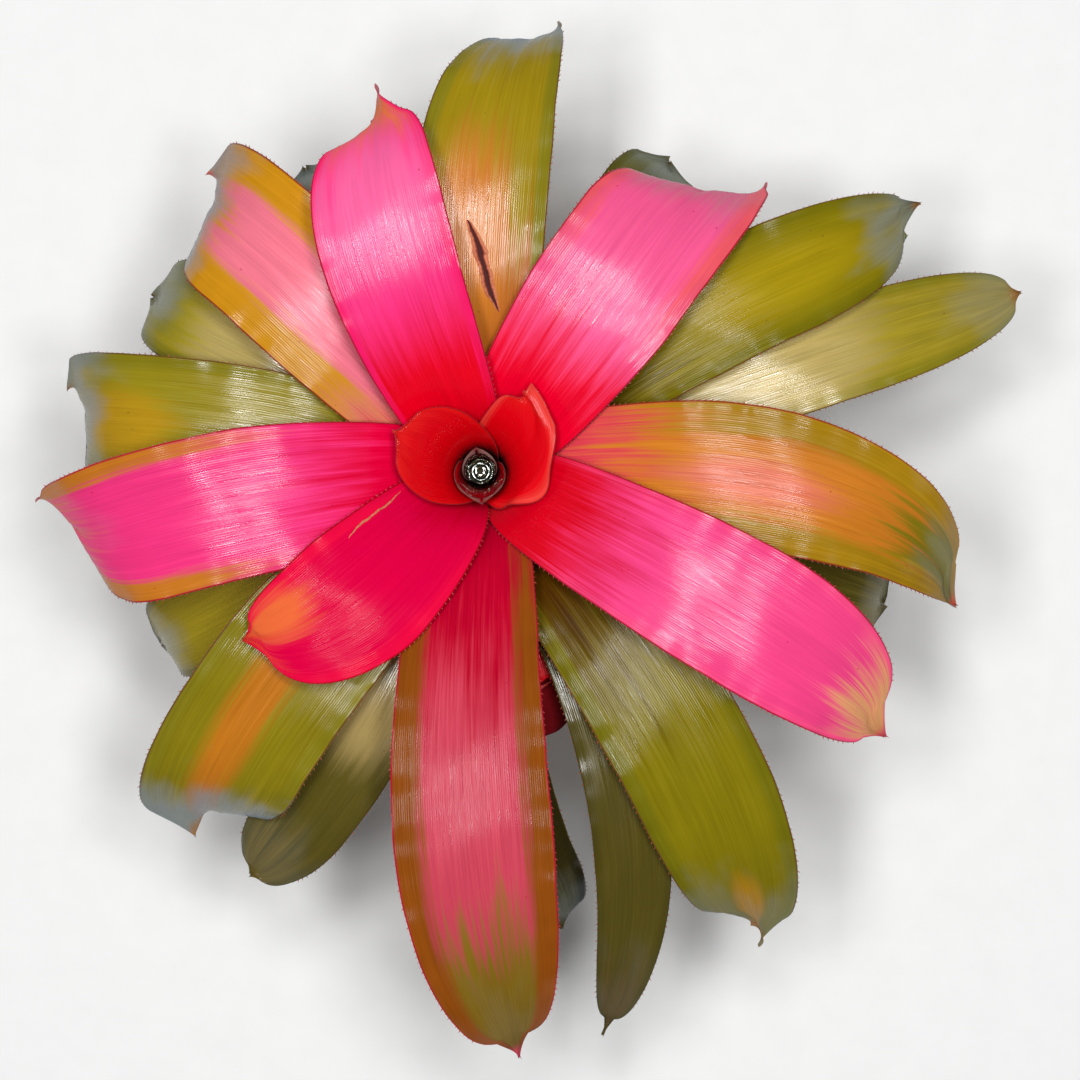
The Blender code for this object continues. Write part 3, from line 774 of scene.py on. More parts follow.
ribs = skin.scaled(broad, RIB_WANDER, skin.times(u, math.tau / RIB_PITCH))
skin.join(skin.scaled(skin.math("SINE", ribs), RIB_HEIGHT, fine), result["Height"])
LEAF_SKIN = skin.tree
print("leaf skin has", len(LEAF_SKIN.nodes), "nodes")

# %% [markdown]
# Each leaf is then described by the colours it wears and where they change. Light pigment fades with
# age, so the table runs from the crimson heart outwards to the oldest dark leaves in the shade. A
# row gives the four colours, then where the body and the end begin, how soft and how ragged their
# borders are, how wide the margin is and where it starts, and the strength of streaks, of the
# painted sheen with its bloom, and of gloss. A patch, if there is one, has its colour, place and size
# last; on leaves 06, 18, 21 and 22 the patch is a painted highlight.

# %% The colours of each leaf
MAROON, SCARLET, CRIMSON, BROWN, OLIVE, RUST, MOSS, DARK_OLIVE = (
    (84, 12, 18), (222, 14, 16), (206, 0, 18), (92, 62, 24), (126, 116, 14), (176, 96, 34),
    (104, 100, 18), (84, 78, 20)
)

ZONES = ("Heart colour", "Body colour", "End colour", "Margin colour")
NUMBERS = ("Body from", "End from", "Blend", "Ragged", "Margin width", "Margin from", "Streaks", "Bloom")
Skin = namedtuple("Skin", """heart body end margin body_from end_from blend ragged margin_width margin_from
                  streaks bloom gloss patch""", defaults=[None])
Patch = namedtuple("Patch", "colour along across length width")
SKINS = {
    "01": Skin(MAROON, MAROON, SCARLET, MAROON,
        0.3, 0.9, 0.12, 0.1, 0.2, 0.3, 0.1, 0.0, 0.3),
    "02": Skin(MAROON, (150, 4, 16), CRIMSON, CRIMSON,
        0.3, 0.9, 0.12, 0.1, 0.2, 0.3, 0.1, 0.0, 0.3),
    "03": Skin((120, 2, 14), (214, 0, 16), (222, 22, 24), SCARLET,
        0.2, 0.85, 0.12, 0.1, 0.06, 0.3, 0.06, 0.0, 0.3),
    "04": Skin((120, 2, 14), (224, 0, 18), SCARLET, (228, 64, 56),
        0.2, 0.88, 0.12, 0.1, 0.1, 0.4, 0.06, 0.0, 0.3),
    "05": Skin((206, 0, 42), (216, 0, 64), (222, 60, 40), (226, 8, 62),
        0.25, 0.94, 0.12, 0.1, 0.2, 0.3, 0.07, 0.0, 0.06, Patch((230, 104, 56), 0.86, -0.45, 0.14, 0.5)),
    # The paler pink patch far out on leaf 06 is a painted highlight.
    "06": Skin((228, 0, 30), (238, 48, 122), (214, 112, 58), (238, 24, 100),
        0.43, 0.9, 0.12, 0.04, 0.12, 0.3, 0.12, 0.0, 0.2, Patch((240, 96, 152), 0.74, 0.0, 0.18, 1.1)),
    # The tan end of leaf 07 is its own colour, lightened with a painted highlight.
    "07": Skin((218, 0, 30), (236, 64, 128), (216, 154, 98), (238, 72, 124),
        0.32, 0.88, 0.12, 0.1, 0.1, 0.3, 0.14, 0.05, 0.26),
    "08": Skin((228, 0, 58), (236, 50, 122), (214, 96, 72), (190, 112, 30),
        0.36, 0.96, 0.12, 0.12, 0.28, 0.56, 0.14, 0.15, 0.26),
    "09": Skin((236, 0, 42), (236, 84, 138), (212, 96, 126), (228, 84, 96),
        0.42, 0.9, 0.12, 0.1, 0.22, 0.6, 0.14, 0.2, 0.28),
    "10": Skin((186, 0, 40), (196, 64, 84), (122, 96, 22), (136, 70, 12),
        0.38, 0.76, 0.14, 0.14, 0.36, 0.14, 0.18, 0.1, 0.1),
    "11": Skin((222, 80, 60), (234, 116, 136), (200, 128, 30), (198, 136, 16),
        0.24, 0.86, 0.12, 0.14, 0.5, 0.3, 0.18, 0.85, 0.26),
    "12": Skin((224, 66, 80), (196, 116, 30), (118, 106, 12), (156, 118, 12),
        0.3, 0.8, 0.12, 0.16, 0.45, 0.4, 0.22, 0.3, 0.2, Patch((216, 112, 84), 0.52, -0.05, 0.17, 0.36)),
    "13": Skin(BROWN, (132, 118, 6), (146, 128, 18), OLIVE,
        0.3, 0.9, 0.12, 0.1, 0.2, 0.3, 0.2, 0.9, 0.36, Patch((188, 112, 20), 0.66, -0.12, 0.34, 0.34)),
    "14": Skin(RUST, (152, 128, 6), (138, 130, 84), OLIVE,
        0.46, 0.88, 0.12, 0.1, 0.2, 0.3, 0.18, 0.9, 0.38, Patch((200, 120, 34), 0.46, 0.15, 0.24, 0.7)),
    # The dark brown base of leaf 15 is partly painted shade between the leaves.
    "15": Skin((76, 44, 2), (126, 114, 6), (118, 106, 8), (108, 102, 8),
        0.4, 0.86, 0.2, 0.1, 0.2, 0.3, 0.2, 0.3, 0.18, Patch((168, 124, 22), 0.93, 0.1, 0.08, 0.3)),
    "16": Skin(MOSS, (142, 128, 12), (158, 134, 16), (126, 116, 10),
        0.3, 0.9, 0.12, 0.1, 0.2, 0.3, 0.18, 0.7, 0.42, Patch((176, 138, 16), 0.8, 0.1, 0.14, 0.6)),
    "17": Skin((90, 76, 6), (130, 116, 8), (134, 120, 12), (112, 104, 8),
        0.36, 0.88, 0.12, 0.1, 0.2, 0.3, 0.2, 0.6, 0.12, Patch((158, 136, 12), 0.66, 0.0, 0.22, 0.6)),
    # The pale patch at the middle of leaf 18 is a painted highlight.
    "18": Skin((110, 96, 30), (84, 74, 14), (104, 88, 24), (80, 70, 10),
        0.3, 0.9, 0.12, 0.1, 0.2, 0.3, 0.2, 0.12, 0.5, Patch((160, 138, 82), 0.5, 0.0, 0.17, 0.9)),
    "19": Skin(DARK_OLIVE, (116, 112, 40), (120, 120, 78), MOSS,
        0.3, 0.85, 0.12, 0.1, 0.2, 0.3, 0.18, 0.7, 0.5),
    "20": Skin((64, 56, 8), (80, 70, 10), (88, 68, 20), (72, 64, 8),
        0.3, 0.9, 0.12, 0.1, 0.2, 0.3, 0.18, 0.1, 0.5),
    # The pale patch on leaf 21 is a painted highlight.
    "21": Skin((112, 102, 16), (150, 132, 26), (150, 132, 30), (126, 116, 14),
        0.25, 0.92, 0.12, 0.1, 0.2, 0.3, 0.28, 0.3, 0.5, Patch((184, 162, 92), 0.52, 0.0, 0.2, 1.3)),
    # The pale patch on leaf 22 is a painted highlight.
    "22": Skin((120, 110, 24), (152, 136, 18), (128, 120, 40), (112, 106, 12),
        0.3, 0.85, 0.12, 0.1, 0.2, 0.3, 0.2, 0.55, 0.5, Patch((176, 156, 90), 0.62, 0.0, 0.17, 1.2)),
    "23": Skin((204, 20, 30), (206, 28, 36), (222, 52, 60), (202, 36, 34),
        0.3, 0.94, 0.12, 0.1, 0.2, 0.2, 0.16, 0.0, 0.2),
    "24": Skin((84, 78, 10), (98, 94, 30), (104, 106, 74), (84, 80, 16),
        0.3, 0.85, 0.12, 0.1, 0.2, 0.3, 0.18, 0.3, 0.5),
    "25": Skin((110, 98, 14), (148, 130, 18), (146, 128, 22), (104, 94, 10),
        0.3, 0.85, 0.12, 0.1, 0.2, 0.3, 0.2, 0.45, 0.5),
    "26": Skin((60, 54, 8), (88, 80, 14), (112, 100, 30), (80, 70, 8),
        0.3, 0.85, 0.12, 0.1, 0.2, 0.3, 0.2, 0.15, 0.25),
    # Leaf 27 wears the dark maroon that a red leaf shows in shade: painted shade.
    "27": Skin(MAROON, (116, 12, 20), (104, 12, 20), MAROON,
        0.3, 0.85, 0.12, 0.02, 0.2, 0.3, 0.06, 0.0, 0.1),
    "28": Skin((56, 46, 6), (58, 48, 8), (84, 80, 30), (50, 44, 6),
        0.3, 0.85, 0.12, 0.1, 0.2, 0.3, 0.16, 0.35, 0.2),
}
# The line at the margin, the point and the underside have one colour for each kind of leaf.
TRIMS = ("Line colour", "Tip colour", "Under colour")
TRIMMINGS = {
    "heart": (MAROON, MAROON, MAROON),
    "red": ((176, 4, 24), (214, 60, 50), (170, 20, 40)),
    "pink": ((170, 14, 44), (226, 84, 112), (176, 60, 84)),
    "torn": (CRIMSON, CRIMSON, CRIMSON),
    "orange": ((140, 44, 22), (214, 92, 78), (150, 108, 62)),
    "olive": ((104, 70, 24), (164, 112, 56), (110, 108, 54)),
    "dark": ((66, 58, 20), (104, 88, 34), (84, 86, 50)),
    "shaded": (MAROON, MAROON, MAROON),
}
SEED_STEP = 3.7
LEAF_RELIEF = 0.045 * MM

for i, blade in enumerate(blades):
    row = SKINS[number(blade.leaf)]
    material, shader, wiring = principled("skin_" + blade.leaf.name[5:], Specular_IOR_Level=row.gloss)
    tints = zip(ZONES + TRIMS, row[: len(ZONES)] + TRIMMINGS[blade.leaf.slot])
    values = {label: colour(*parts) for label, parts in tints}
    values.update(zip(NUMBERS, row[len(ZONES):]), Seed=SEED_STEP * (i + 1))
    if row.patch:
        values["Patch colour"] = colour(*row.patch.colour)
        values.update({"Patch " + part: getattr(row.patch, part) for part in Patch._fields[1:]})
    finish_from(material, shader, wiring, LEAF_SKIN, values, LEAF_RELIEF)
    blade.obj.data.materials.append(material)
    place(blade.obj, blade.leaf.slot, blade.leaf.name)
print(len(blades), "leaf finishes from one group")

# %% [markdown]
# ## Scars
# Two leaves carry old wounds that healed with a corky crust: a wide split across an olive leaf and
# a thin slit near the edge of the red one. Each crust is a small shell laid on the leaf's own
# surface along a slanting line, with raised lips, a sunken middle and an uneven rim.

# %% Corky scars
Scar = namedtuple("Scar", "start end width lip depth")
SCARS = {
    "05": Scar((34.0, -0.86), (61.0, -0.71), 0.6, 0.2, 0.1),
    "14": Scar((68.0, -0.36), (107.0, 0.20), 3.1, 0.8, 0.6),
}
SCAR_ROWS, SCAR_COLUMNS = 90, 17
SCAR_SINK = 0.35 * MM
CRUST_HEIGHT, CRUST_RISE, CRUST_RELIEF = 0.6 * MM, 0.95, 0.3 * MM
LIPS_AT, LIP_WIDTH, GROOVE_WIDTH = 0.55, 0.2, 0.35
DARK_WIDTH, DARKEST_DEPTH = 0.42, 0.5
SCAR_BEND, SCAR_WANDER, RIM_UNEVEN = 0.035, 0.012, 0.18

FLAKE_SCALE, FLAKE_SHARE = 700.0, 0.22
PALE_CORK, MID_CORK, DARK_CORK = colour(216, 128, 92), colour(150, 66, 46), colour(72, 22, 20)

crust, shader, wiring = principled("corky_scar", Roughness=0.85)
flakes = wiring.noise(wiring.position(), FLAKE_SCALE, 4.0)
deep = wiring.scaled(flakes, FLAKE_SHARE, wiring.attribute("deep"))
bark_tint = wiring.mix(wiring.step(deep, 0.08, 0.4), PALE_CORK, MID_CORK)
bark_tint = wiring.mix(wiring.step(deep, 0.45, 0.8), bark_tint, DARK_CORK)
wiring.join(bark_tint, shader.inputs["Base Color"])
wiring.bumped(shader, flakes, CRUST_RELIEF)


def make_scar(blade, scar):
    """A thin shell that follows the leaf's own surface, widest at its middle."""
    leaf, rib = blade.leaf, midrib(blade.leaf)
    share = np.linspace(0.0, 1.0, SCAR_ROWS)
    offset = np.linspace(-1.0, 1.0, SCAR_COLUMNS)[None, :]
    reach = (scar.start[0] + (scar.end[0] - scar.start[0]) * share) * MM
    beyond_sheath = rib.arc >= 0.0
    arc = np.interp(reach, rib.radius[beyond_sheath], rib.arc[beyond_sheath])
    arc = np.broadcast_to(arc[:, None], (SCAR_ROWS, SCAR_COLUMNS))
    spindle = np.sqrt(np.clip(4.0 * share * (1.0 - share), 0.0, 1.0))
    spindle = spindle * (1.0 + RIM_UNEVEN * waver(9.0 * share, 3.0))
    half = scar.width * MM * np.clip(spindle, 0.04, 2.0) / (0.5 * leaf.width * MM)
    middle = scar.start[1] + (scar.end[1] - scar.start[1]) * share
    middle = middle + SCAR_BEND * np.sin(math.tau * share) + SCAR_WANDER * waver(7.0 * share, 5.0)
    across = middle[:, None] + offset * half[:, None]
    face, side = upper_face(leaf, rib, arc, across)
    normal = unit(np.cross(np.gradient(face, axis=0), np.gradient(face, axis=1)))
    lips = scar.lip * np.exp(-(((np.abs(offset) - LIPS_AT) / LIP_WIDTH) ** 2))
    groove = scar.depth * np.exp(-((offset / GROOVE_WIDTH) ** 2))
    rugged = 1.0 + 0.45 * waver(23.0 * share[:, None] + 2.0 * offset, 7.0)
    lift = CRUST_RISE + lips * rugged - groove - CRUST_RISE * np.abs(offset) ** 4
    height = surface_detail(leaf, LEAVES.index(leaf) + 1, arc, across, side, rib.length - arc)
    top = face + normal * (height + lift * spindle[:, None] * CRUST_HEIGHT)[..., None]
    low = face + normal * (height - SCAR_SINK)[..., None]
    points = np.concatenate([top.reshape(-1, 3), low.reshape(-1, 3)])
    faces, _ = shell_faces(SCAR_ROWS, SCAR_COLUMNS)
    piece = mesh_object("scar_" + number(leaf), points, faces, material=crust)
    sunk = np.broadcast_to(np.exp(-((offset / DARK_WIDTH) ** 2)) * scar.depth / DARKEST_DEPTH, across.shape)
    point_layer(piece, "deep", np.tile(sunk.reshape(-1), 2))
    place(piece, leaf.slot)
    print(piece.name, round(scar.end[0] - scar.start[0]), "mm long")


for blade in blades:
    if number(blade.leaf) in SCARS:
        make_scar(blade, SCARS[number(blade.leaf)])

# %% [markdown]
# ## Marginal spines
# The margins carry small hooked spines, one every few millimetres, leaning towards the tip. They
# repeat along a path, so Geometry Nodes make them: a thread of edges follows each margin and carries
# the directions outward and onward, the tree walks the thread in even steps, and each step gets a
# small five-sided cone, turned to the leaf and varied in size by a fixed seed.

# %% Spine tree
def geometry_tree(name, inputs):
    """A Geometry Nodes tree with a geometry input and output and named, typed inputs."""
    tree = bpy.data.node_groups.new(name, "GeometryNodeTree")
    tree.interface.new_socket("Geometry", in_out="INPUT", socket_type="NodeSocketGeometry")
    for label, kind in inputs.items():
        tree.interface.new_socket(label, in_out="INPUT", socket_type="NodeSocket" + kind)
    tree.interface.new_socket("Geometry", in_out="OUTPUT", socket_type="NodeSocketGeometry")
    entry = tree.nodes.new("NodeGroupInput")
    way_out = tree.nodes.new("NodeGroupOutput")
    return Wiring(tree), entry.outputs, way_out.inputs[0]


def grown(source, tree, name, values):
    """Runs a tree on an object and returns the result as a plain mesh object of its own."""
    modifier = source.modifiers.new("grow", "NODES")
    modifier.node_group = tree
    for item in tree.interface.items_tree:
        if item.in_out == "INPUT" and item.name in values:
            modifier[item.identifier] = values[item.name]
    depsgraph = bpy.context.evaluated_depsgraph_get()
    mesh = bpy.data.meshes.new_from_object(source.evaluated_get(depsgraph))
    mesh.name = name
    source.modifiers.remove(modifier)
    bpy.data.objects.remove(source)
    return into_scene(bpy.data.objects.new(name, mesh))


def painted_and_real(wiring, instances, finish, out):
    """Ends a tree: its instances become real and take their finish."""
    real = wiring.node("GeometryNodeRealizeInstances", {0: instances.outputs[0]})
    painted = wiring.node("GeometryNodeSetMaterial", {"Geometry": real.outputs[0], "Material": finish})
    wiring.join(painted.outputs[0], out)


SPINE_SIDES = 5
SHORTEST_SPINE, LONGEST_SPINE = 0.45, 1.25
spines, given, out = geometry_tree("marginal_spines", {
    "Spacing": "Float", "Length": "Float", "Thickness": "Float", "Seed": "Int", "Finish": "Material"})
curve = spines.node("GeometryNodeMeshToCurve", {"Mesh": given["Geometry"]}).outputs[0]
walk = spines.node("GeometryNodeResampleCurve", {"Curve": curve, "Length": given["Spacing"]}, mode="LENGTH")
cone = spines.node("GeometryNodeMeshCone", {
    "Vertices": SPINE_SIDES, "Radius Bottom": given["Thickness"], "Depth": given["Length"]})
outward = spines.node("GeometryNodeInputNamedAttribute", {"Name": "outward"}, data_type="FLOAT_VECTOR")
turned = spines.node("FunctionNodeAlignRotationToVector", {"Vector": outward.outputs[0]}, axis="Z")
size = spines.node("FunctionNodeRandomValue", {
    2: SHORTEST_SPINE, 3: LONGEST_SPINE, "Seed": given["Seed"]}, data_type="FLOAT")
grains = spines.node("GeometryNodeInstanceOnPoints", {
    "Points": walk.outputs[0], "Instance": cone.outputs[0], "Rotation": turned.outputs[0],
    "Scale": size.outputs[1]})
painted_and_real(spines, grains, given["Finish"], out)
print("spine tree has", len(spines.tree.nodes), "nodes")

# %% Spines on every margin
SPINE_SPACING = 2.7 * MM
SPINE_LENGTH = 1.1 * MM
SPINE_THICKNESS = 0.25 * MM
SPINE_LEAN = 0.75
SPINES_FROM, SPINES_TO = 0.12, 0.93
SPINE_COLOURS = {"red": colour(150, 4, 30), "rust": colour(120, 40, 22), "olive": colour(84, 74, 30)}
SPECK_SCALE, SPECK_COLOUR = 900.0, colour(206, 96, 74)
SPINE_GROUPS = {"red": ("red", "pink", "torn"), "rust": ("orange",), "olive": ("olive", "dark")}


def margin_threads(name, chosen):
    """A mesh of edges along the margins of the chosen blades, with the spines' direction."""
    points, edges, directions = [], [], []
    for blade in chosen:
        for line, outward, onward, along in blade.margins:
            kept = (along > SPINES_FROM) & (along < SPINES_TO)
            first = len(points)
            points += [tuple(p) for p in line[kept]]
            edges += [(i, i + 1) for i in range(first, len(points) - 1)]
            directions.append(outward[kept] + SPINE_LEAN * onward[kept])
    mesh = bpy.data.meshes.new(name)
    mesh.from_pydata(points, edges, [])
    layer = mesh.attributes.new("outward", "FLOAT_VECTOR", "POINT")
    layer.data.foreach_set("vector", np.concatenate(directions).astype(np.float32).ravel())
    return into_scene(bpy.data.objects.new(name, mesh))


for i, (label, slots) in enumerate(SPINE_GROUPS.items()):
    material, shader, wiring = principled("spine_" + label, Roughness=0.45)
    specks = wiring.node("ShaderNodeTexNoise", {"Scale": SPECK_SCALE})
    wiring.join(wiring.position(), specks.inputs["Vector"])
    shade = wiring.mix(specks.outputs["Fac"], SPINE_COLOURS[label], SPECK_COLOUR)
    wiring.join(shade, shader.inputs["Base Color"])
    chosen = [blade for blade in blades if blade.leaf.slot in slots and blade.leaf.wrap < CUP_WRAP]
    piece = grown(margin_threads("threads_" + label, chosen), spines.tree, "spines_" + label, {
        "Spacing": SPINE_SPACING, "Length": SPINE_LENGTH, "Thickness": SPINE_THICKNESS,
        "Seed": i, "Finish": material})
    place(piece, slots[0])
    print(piece.name, len(piece.data.polygons), "faces on", len(chosen), "leaves")

# %% [markdown]
# ## Clay pot
# The pot is a turned shape, so its outline is drawn once and swept round the axis. Its corners are
# rounded where hands and tools wear them, and faint rings stay from the throwing. Four drain holes
# are cut through the floor. Fired clay is matt and grainy, paler where lime has dried on it, and
# darker where water soaks through.

# %% Turning
POT_BASE_RADIUS, POT_TOP_RADIUS, POT_WALL, POT_FLOOR = 50 * MM, 71 * MM, 5 * MM, 6 * MM
RIM_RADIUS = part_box("pot")[1].x
RIM_HEIGHT, RIM_TAPER = 22 * MM, 1.6 * MM
TURNED_STEPS = 128
WOBBLE_SIDES, WOBBLE_TWIST = 3.0, 40.0
CORNER_RADIUS, POT_RING_STEP, THROWING_RING, THROWING_PITCH = 1.6 * MM, 1.5 * MM, 0.12 * MM, 7 * MM


def rounded(outline, radius, steps=4):
    """An outline with each corner replaced by a short curve."""
    points = [np.array(outline[0])]
    for before, corner, after in zip(outline, outline[1:], outline[2:]):
        before, corner, after = map(np.array, (before, corner, after))
        back, on = before - corner, after - corner
        reach = min(radius, 0.45 * np.linalg.norm(back), 0.45 * np.linalg.norm(on))
        start = corner + back / np.linalg.norm(back) * reach
        end = corner + on / np.linalg.norm(on) * reach
        for i in range(steps + 1):
            share = i / steps
            points.append((1 - share) ** 2 * start + 2 * share * (1 - share) * corner + share ** 2 * end)
    return points + [np.array(outline[-1])]


def divided(outline, step):
    """An outline with long runs divided into short ones."""
    points = [outline[0]]
    for start, end in zip(outline, outline[1:]):
        count = max(1, math.ceil(np.linalg.norm(np.array(end) - start) / step))
        points += [start + (end - start) * (i + 1) / count for i in range(count)]
    return points


def turned_piece(name, outline, ripple=0.0, pitch=1.0, wobble=0.0):
    """A closed solid swept from (radius, height) points that start and end on the axis."""
    rings = np.array(outline[1:-1])
    turn = np.arange(TURNED_STEPS) * math.tau / TURNED_STEPS
    off = ripple * np.sin(math.tau * rings[:, 1] / pitch)[:, None]
    off = off + wobble * np.sin(WOBBLE_SIDES * turn + WOBBLE_TWIST * rings[:, 1:2])
    radius = rings[:, :1] - np.abs(off)
    points = np.stack([radius * np.cos(turn), radius * np.sin(turn),
                       np.broadcast_to(rings[:, 1:2], radius.shape)], -1).reshape(-1, 3).tolist()
    last = len(points)
    points += [(0.0, 0.0, outline[0][1]), (0.0, 0.0, outline[-1][1])]
    faces = []
    for ring in range(len(rings) - 1):
        for i in range(TURNED_STEPS):
            a, b = ring * TURNED_STEPS + i, ring * TURNED_STEPS + (i + 1) % TURNED_STEPS
            faces.append((a, a + TURNED_STEPS, b + TURNED_STEPS, b))
    low = (len(rings) - 1) * TURNED_STEPS
    for i in range(TURNED_STEPS):
        j = (i + 1) % TURNED_STEPS
        faces += [(last, i, j), (last + 1, low + j, low + i)]
    obj = mesh_object(name, points, faces)
    shape = bmesh.new()
    shape.from_mesh(obj.data)
    bmesh.ops.recalc_face_normals(shape, faces=shape.faces)
    shape.to_mesh(obj.data)
    shape.free()
    return obj


def pot_wall(height, inside):
    radius = POT_BASE_RADIUS + (POT_TOP_RADIUS - POT_BASE_RADIUS) * height / POT_HEIGHT
    return radius - (POT_WALL if inside else 0.0)


band_low = POT_HEIGHT - RIM_HEIGHT
pot_outline = rounded([
    (0.0, POT_FLOOR), (pot_wall(POT_FLOOR, True), POT_FLOOR), (pot_wall(POT_HEIGHT, True), POT_HEIGHT),
    (RIM_RADIUS, POT_HEIGHT), (RIM_RADIUS - RIM_TAPER, band_low), (pot_wall(band_low, False), band_low),
    (pot_wall(0.0, False), 0.0), (0.0, 0.0)], CORNER_RADIUS)
pot = turned_piece("clay_pot", divided(pot_outline, POT_RING_STEP), ripple=THROWING_RING,
                   pitch=THROWING_PITCH, wobble=0.1 * MM)
print("pot has", len(pot.data.polygons), "faces")

# %% Drain holes
DRAIN_HOLES, DRAIN_RADIUS, DRAIN_CIRCLE = 4, 5 * MM, 28 * MM
cutter_shape = bmesh.new()
for i in range(DRAIN_HOLES):
    turn = math.tau * (i + 0.5) / DRAIN_HOLES
    made = bmesh.ops.create_cone(cutter_shape, cap_ends=True, segments=32, radius1=DRAIN_RADIUS,
                                 radius2=DRAIN_RADIUS, depth=4 * POT_FLOOR)
    where = (DRAIN_CIRCLE * math.cos(turn), DRAIN_CIRCLE * math.sin(turn), 0.0)
    bmesh.ops.translate(cutter_shape, verts=made["verts"], vec=where)
cutter_mesh = bpy.data.meshes.new("drain_cutters")
cutter_shape.to_mesh(cutter_mesh)
cutter_shape.free()
cutter = into_scene(bpy.data.objects.new("drain_cutters", cutter_mesh))
cut = pot.modifiers.new("drain", "BOOLEAN")
cut.operation, cut.object = "DIFFERENCE", cutter
cut_mesh = bpy.data.meshes.new_from_object(pot.evaluated_get(bpy.context.evaluated_depsgraph_get()))
pot.modifiers.remove(cut)
pot.data = cut_mesh
bpy.data.objects.remove(cutter)
print("pot with", DRAIN_HOLES, "holes has", len(pot.data.polygons), "faces")

# %% Weathered earth, a group for clay, bark and stem
EARTH_INPUTS = {
    "Colour one": colour(182, 98, 62), "Colour two": colour(150, 74, 46),
    "Stain colour": colour(214, 186, 164), "Grain size": 900.0, "Patch size": 22.0,
    "Stain": 0.4, "Stain low": 0.0, "Stain high": 0.05,
}
GRAIN_IN_CLOUD, CLOUD_LOW, CLOUD_HIGH = 0.35, -0.7, 0.7
STAIN_WANDER = 0.014
GRAIN_LIGHT = 0.12
EARTH_ROUGHNESS, GRAIN_ROUGHNESS = 0.82, 0.06
CLOUD_RELIEF = 0.4

earth, given, result = shader_group(
    "weathered_earth", EARTH_INPUTS, {"Colour": "colour", "Roughness": "number", "Height": "number"}
)
where = earth.position()
height_of = earth.node("ShaderNodeSeparateXYZ", {0: where}).outputs[2]
grain = earth.noise(where, given["Grain size"], 3.0)
cloud = earth.noise(where, given["Patch size"], 4.0)
tint = earth.mix(earth.step(earth.scaled(grain, GRAIN_IN_CLOUD, cloud), CLOUD_LOW, CLOUD_HIGH),
                 given["Colour one"], given["Colour two"])
level = earth.scaled(cloud, STAIN_WANDER, height_of)
stained = earth.times(earth.step(level, given["Stain high"], given["Stain low"]), given["Stain"])
stained = earth.times(stained, earth.step(cloud, -0.6, 0.5))
tint = earth.mix(stained, tint, given["Stain colour"])
light = earth.scaled(grain, GRAIN_LIGHT, 1.0)
earth.join(earth.mix(1.0, tint, earth.vector(light, light, light), "MULTIPLY"), result["Colour"])
earth.join(earth.scaled(grain, GRAIN_ROUGHNESS, EARTH_ROUGHNESS), result["Roughness"])
earth.join(earth.scaled(cloud, CLOUD_RELIEF, grain), result["Height"])
EARTH = earth.tree


def earthen(name, bump_depth=0.15 * MM, **values):
    values = {label.replace("_", " "): value for label, value in values.items()}
    return finish_from(*principled(name), EARTH, values, bump_depth)


pot.data.materials.clear()
pot.data.materials.append(earthen("fired_clay", Stain_low=0.004, Stain_high=0.06, Stain=0.75))
place(pot, "pot", "pot")
print("clay pot placed,", round(2 * RIM_RADIUS / MM), "mm across its rim")

# %% [markdown]
# ## Potting mix
# An orchid-like plant grows in coarse bark with some white perlite. The mix is a disc of fine earth
# with hundreds of chips lying on it. A chip is a rough lump of a few dozen faces, scattered by a
# tree that keeps the chips apart, turns each one at random and stretches it in its own way.

# %% Scatter tree
DENSEST = 400000.0
LUMP_SCALE = 1.4
TILT = 0.5

chips, given, out = geometry_tree("scattered_chips", {
    "Apart": "Float", "Size": "Vector", "Largest": "Vector", "Seed": "Int", "Finish": "Material"})
spots = chips.node("GeometryNodeDistributePointsOnFaces", {
    "Mesh": given["Geometry"], "Distance Min": given["Apart"], "Density Max": DENSEST,
    "Seed": given["Seed"]}, distribute_method="POISSON")
lump = chips.node("GeometryNodeMeshIcoSphere", {"Radius": 1.0, "Subdivisions": 2})
rough_noise = chips.node("ShaderNodeTexNoise", {"Scale": LUMP_SCALE, "Detail": 1.0})
pushed = chips.node("ShaderNodeVectorMath", {0: rough_noise.outputs["Color"], 1: (0.5, 0.5, 0.5)},
                    operation="SUBTRACT")
lump = chips.node("GeometryNodeSetPosition", {"Geometry": lump.outputs[0], "Offset": pushed.outputs[0]})
turn = chips.node("FunctionNodeRandomValue", {0: (-TILT, -TILT, 0.0), 1: (TILT, TILT, math.tau),
                                              "Seed": given["Seed"]}, data_type="FLOAT_VECTOR")
stretch = chips.node("FunctionNodeRandomValue", {0: given["Size"], 1: given["Largest"],
                                                 "Seed": given["Seed"]}, data_type="FLOAT_VECTOR")
laid = chips.node("GeometryNodeInstanceOnPoints", {
    "Points": spots.outputs[0], "Instance": lump.outputs[0], "Rotation": turn.outputs[0],
    "Scale": stretch.outputs[0]})
painted_and_real(chips, laid, given["Finish"], out)
print("scatter tree has", len(chips.tree.nodes), "nodes")

# %% Chips and perlite on the mix
CHIP_RING = (17 * MM, 60 * MM)
BED_BELOW_TOP = 1.6 * MM


def ring_surface(name, inner, outer, height, steps=64):
    points = [(r * math.cos(math.tau * i / steps), r * math.sin(math.tau * i / steps), height)
              for r in (inner, outer) for i in range(steps)]
    faces = [(i, i + steps, (i + 1) % steps + steps, (i + 1) % steps) for i in range(steps)]
    return mesh_object(name, points, faces)


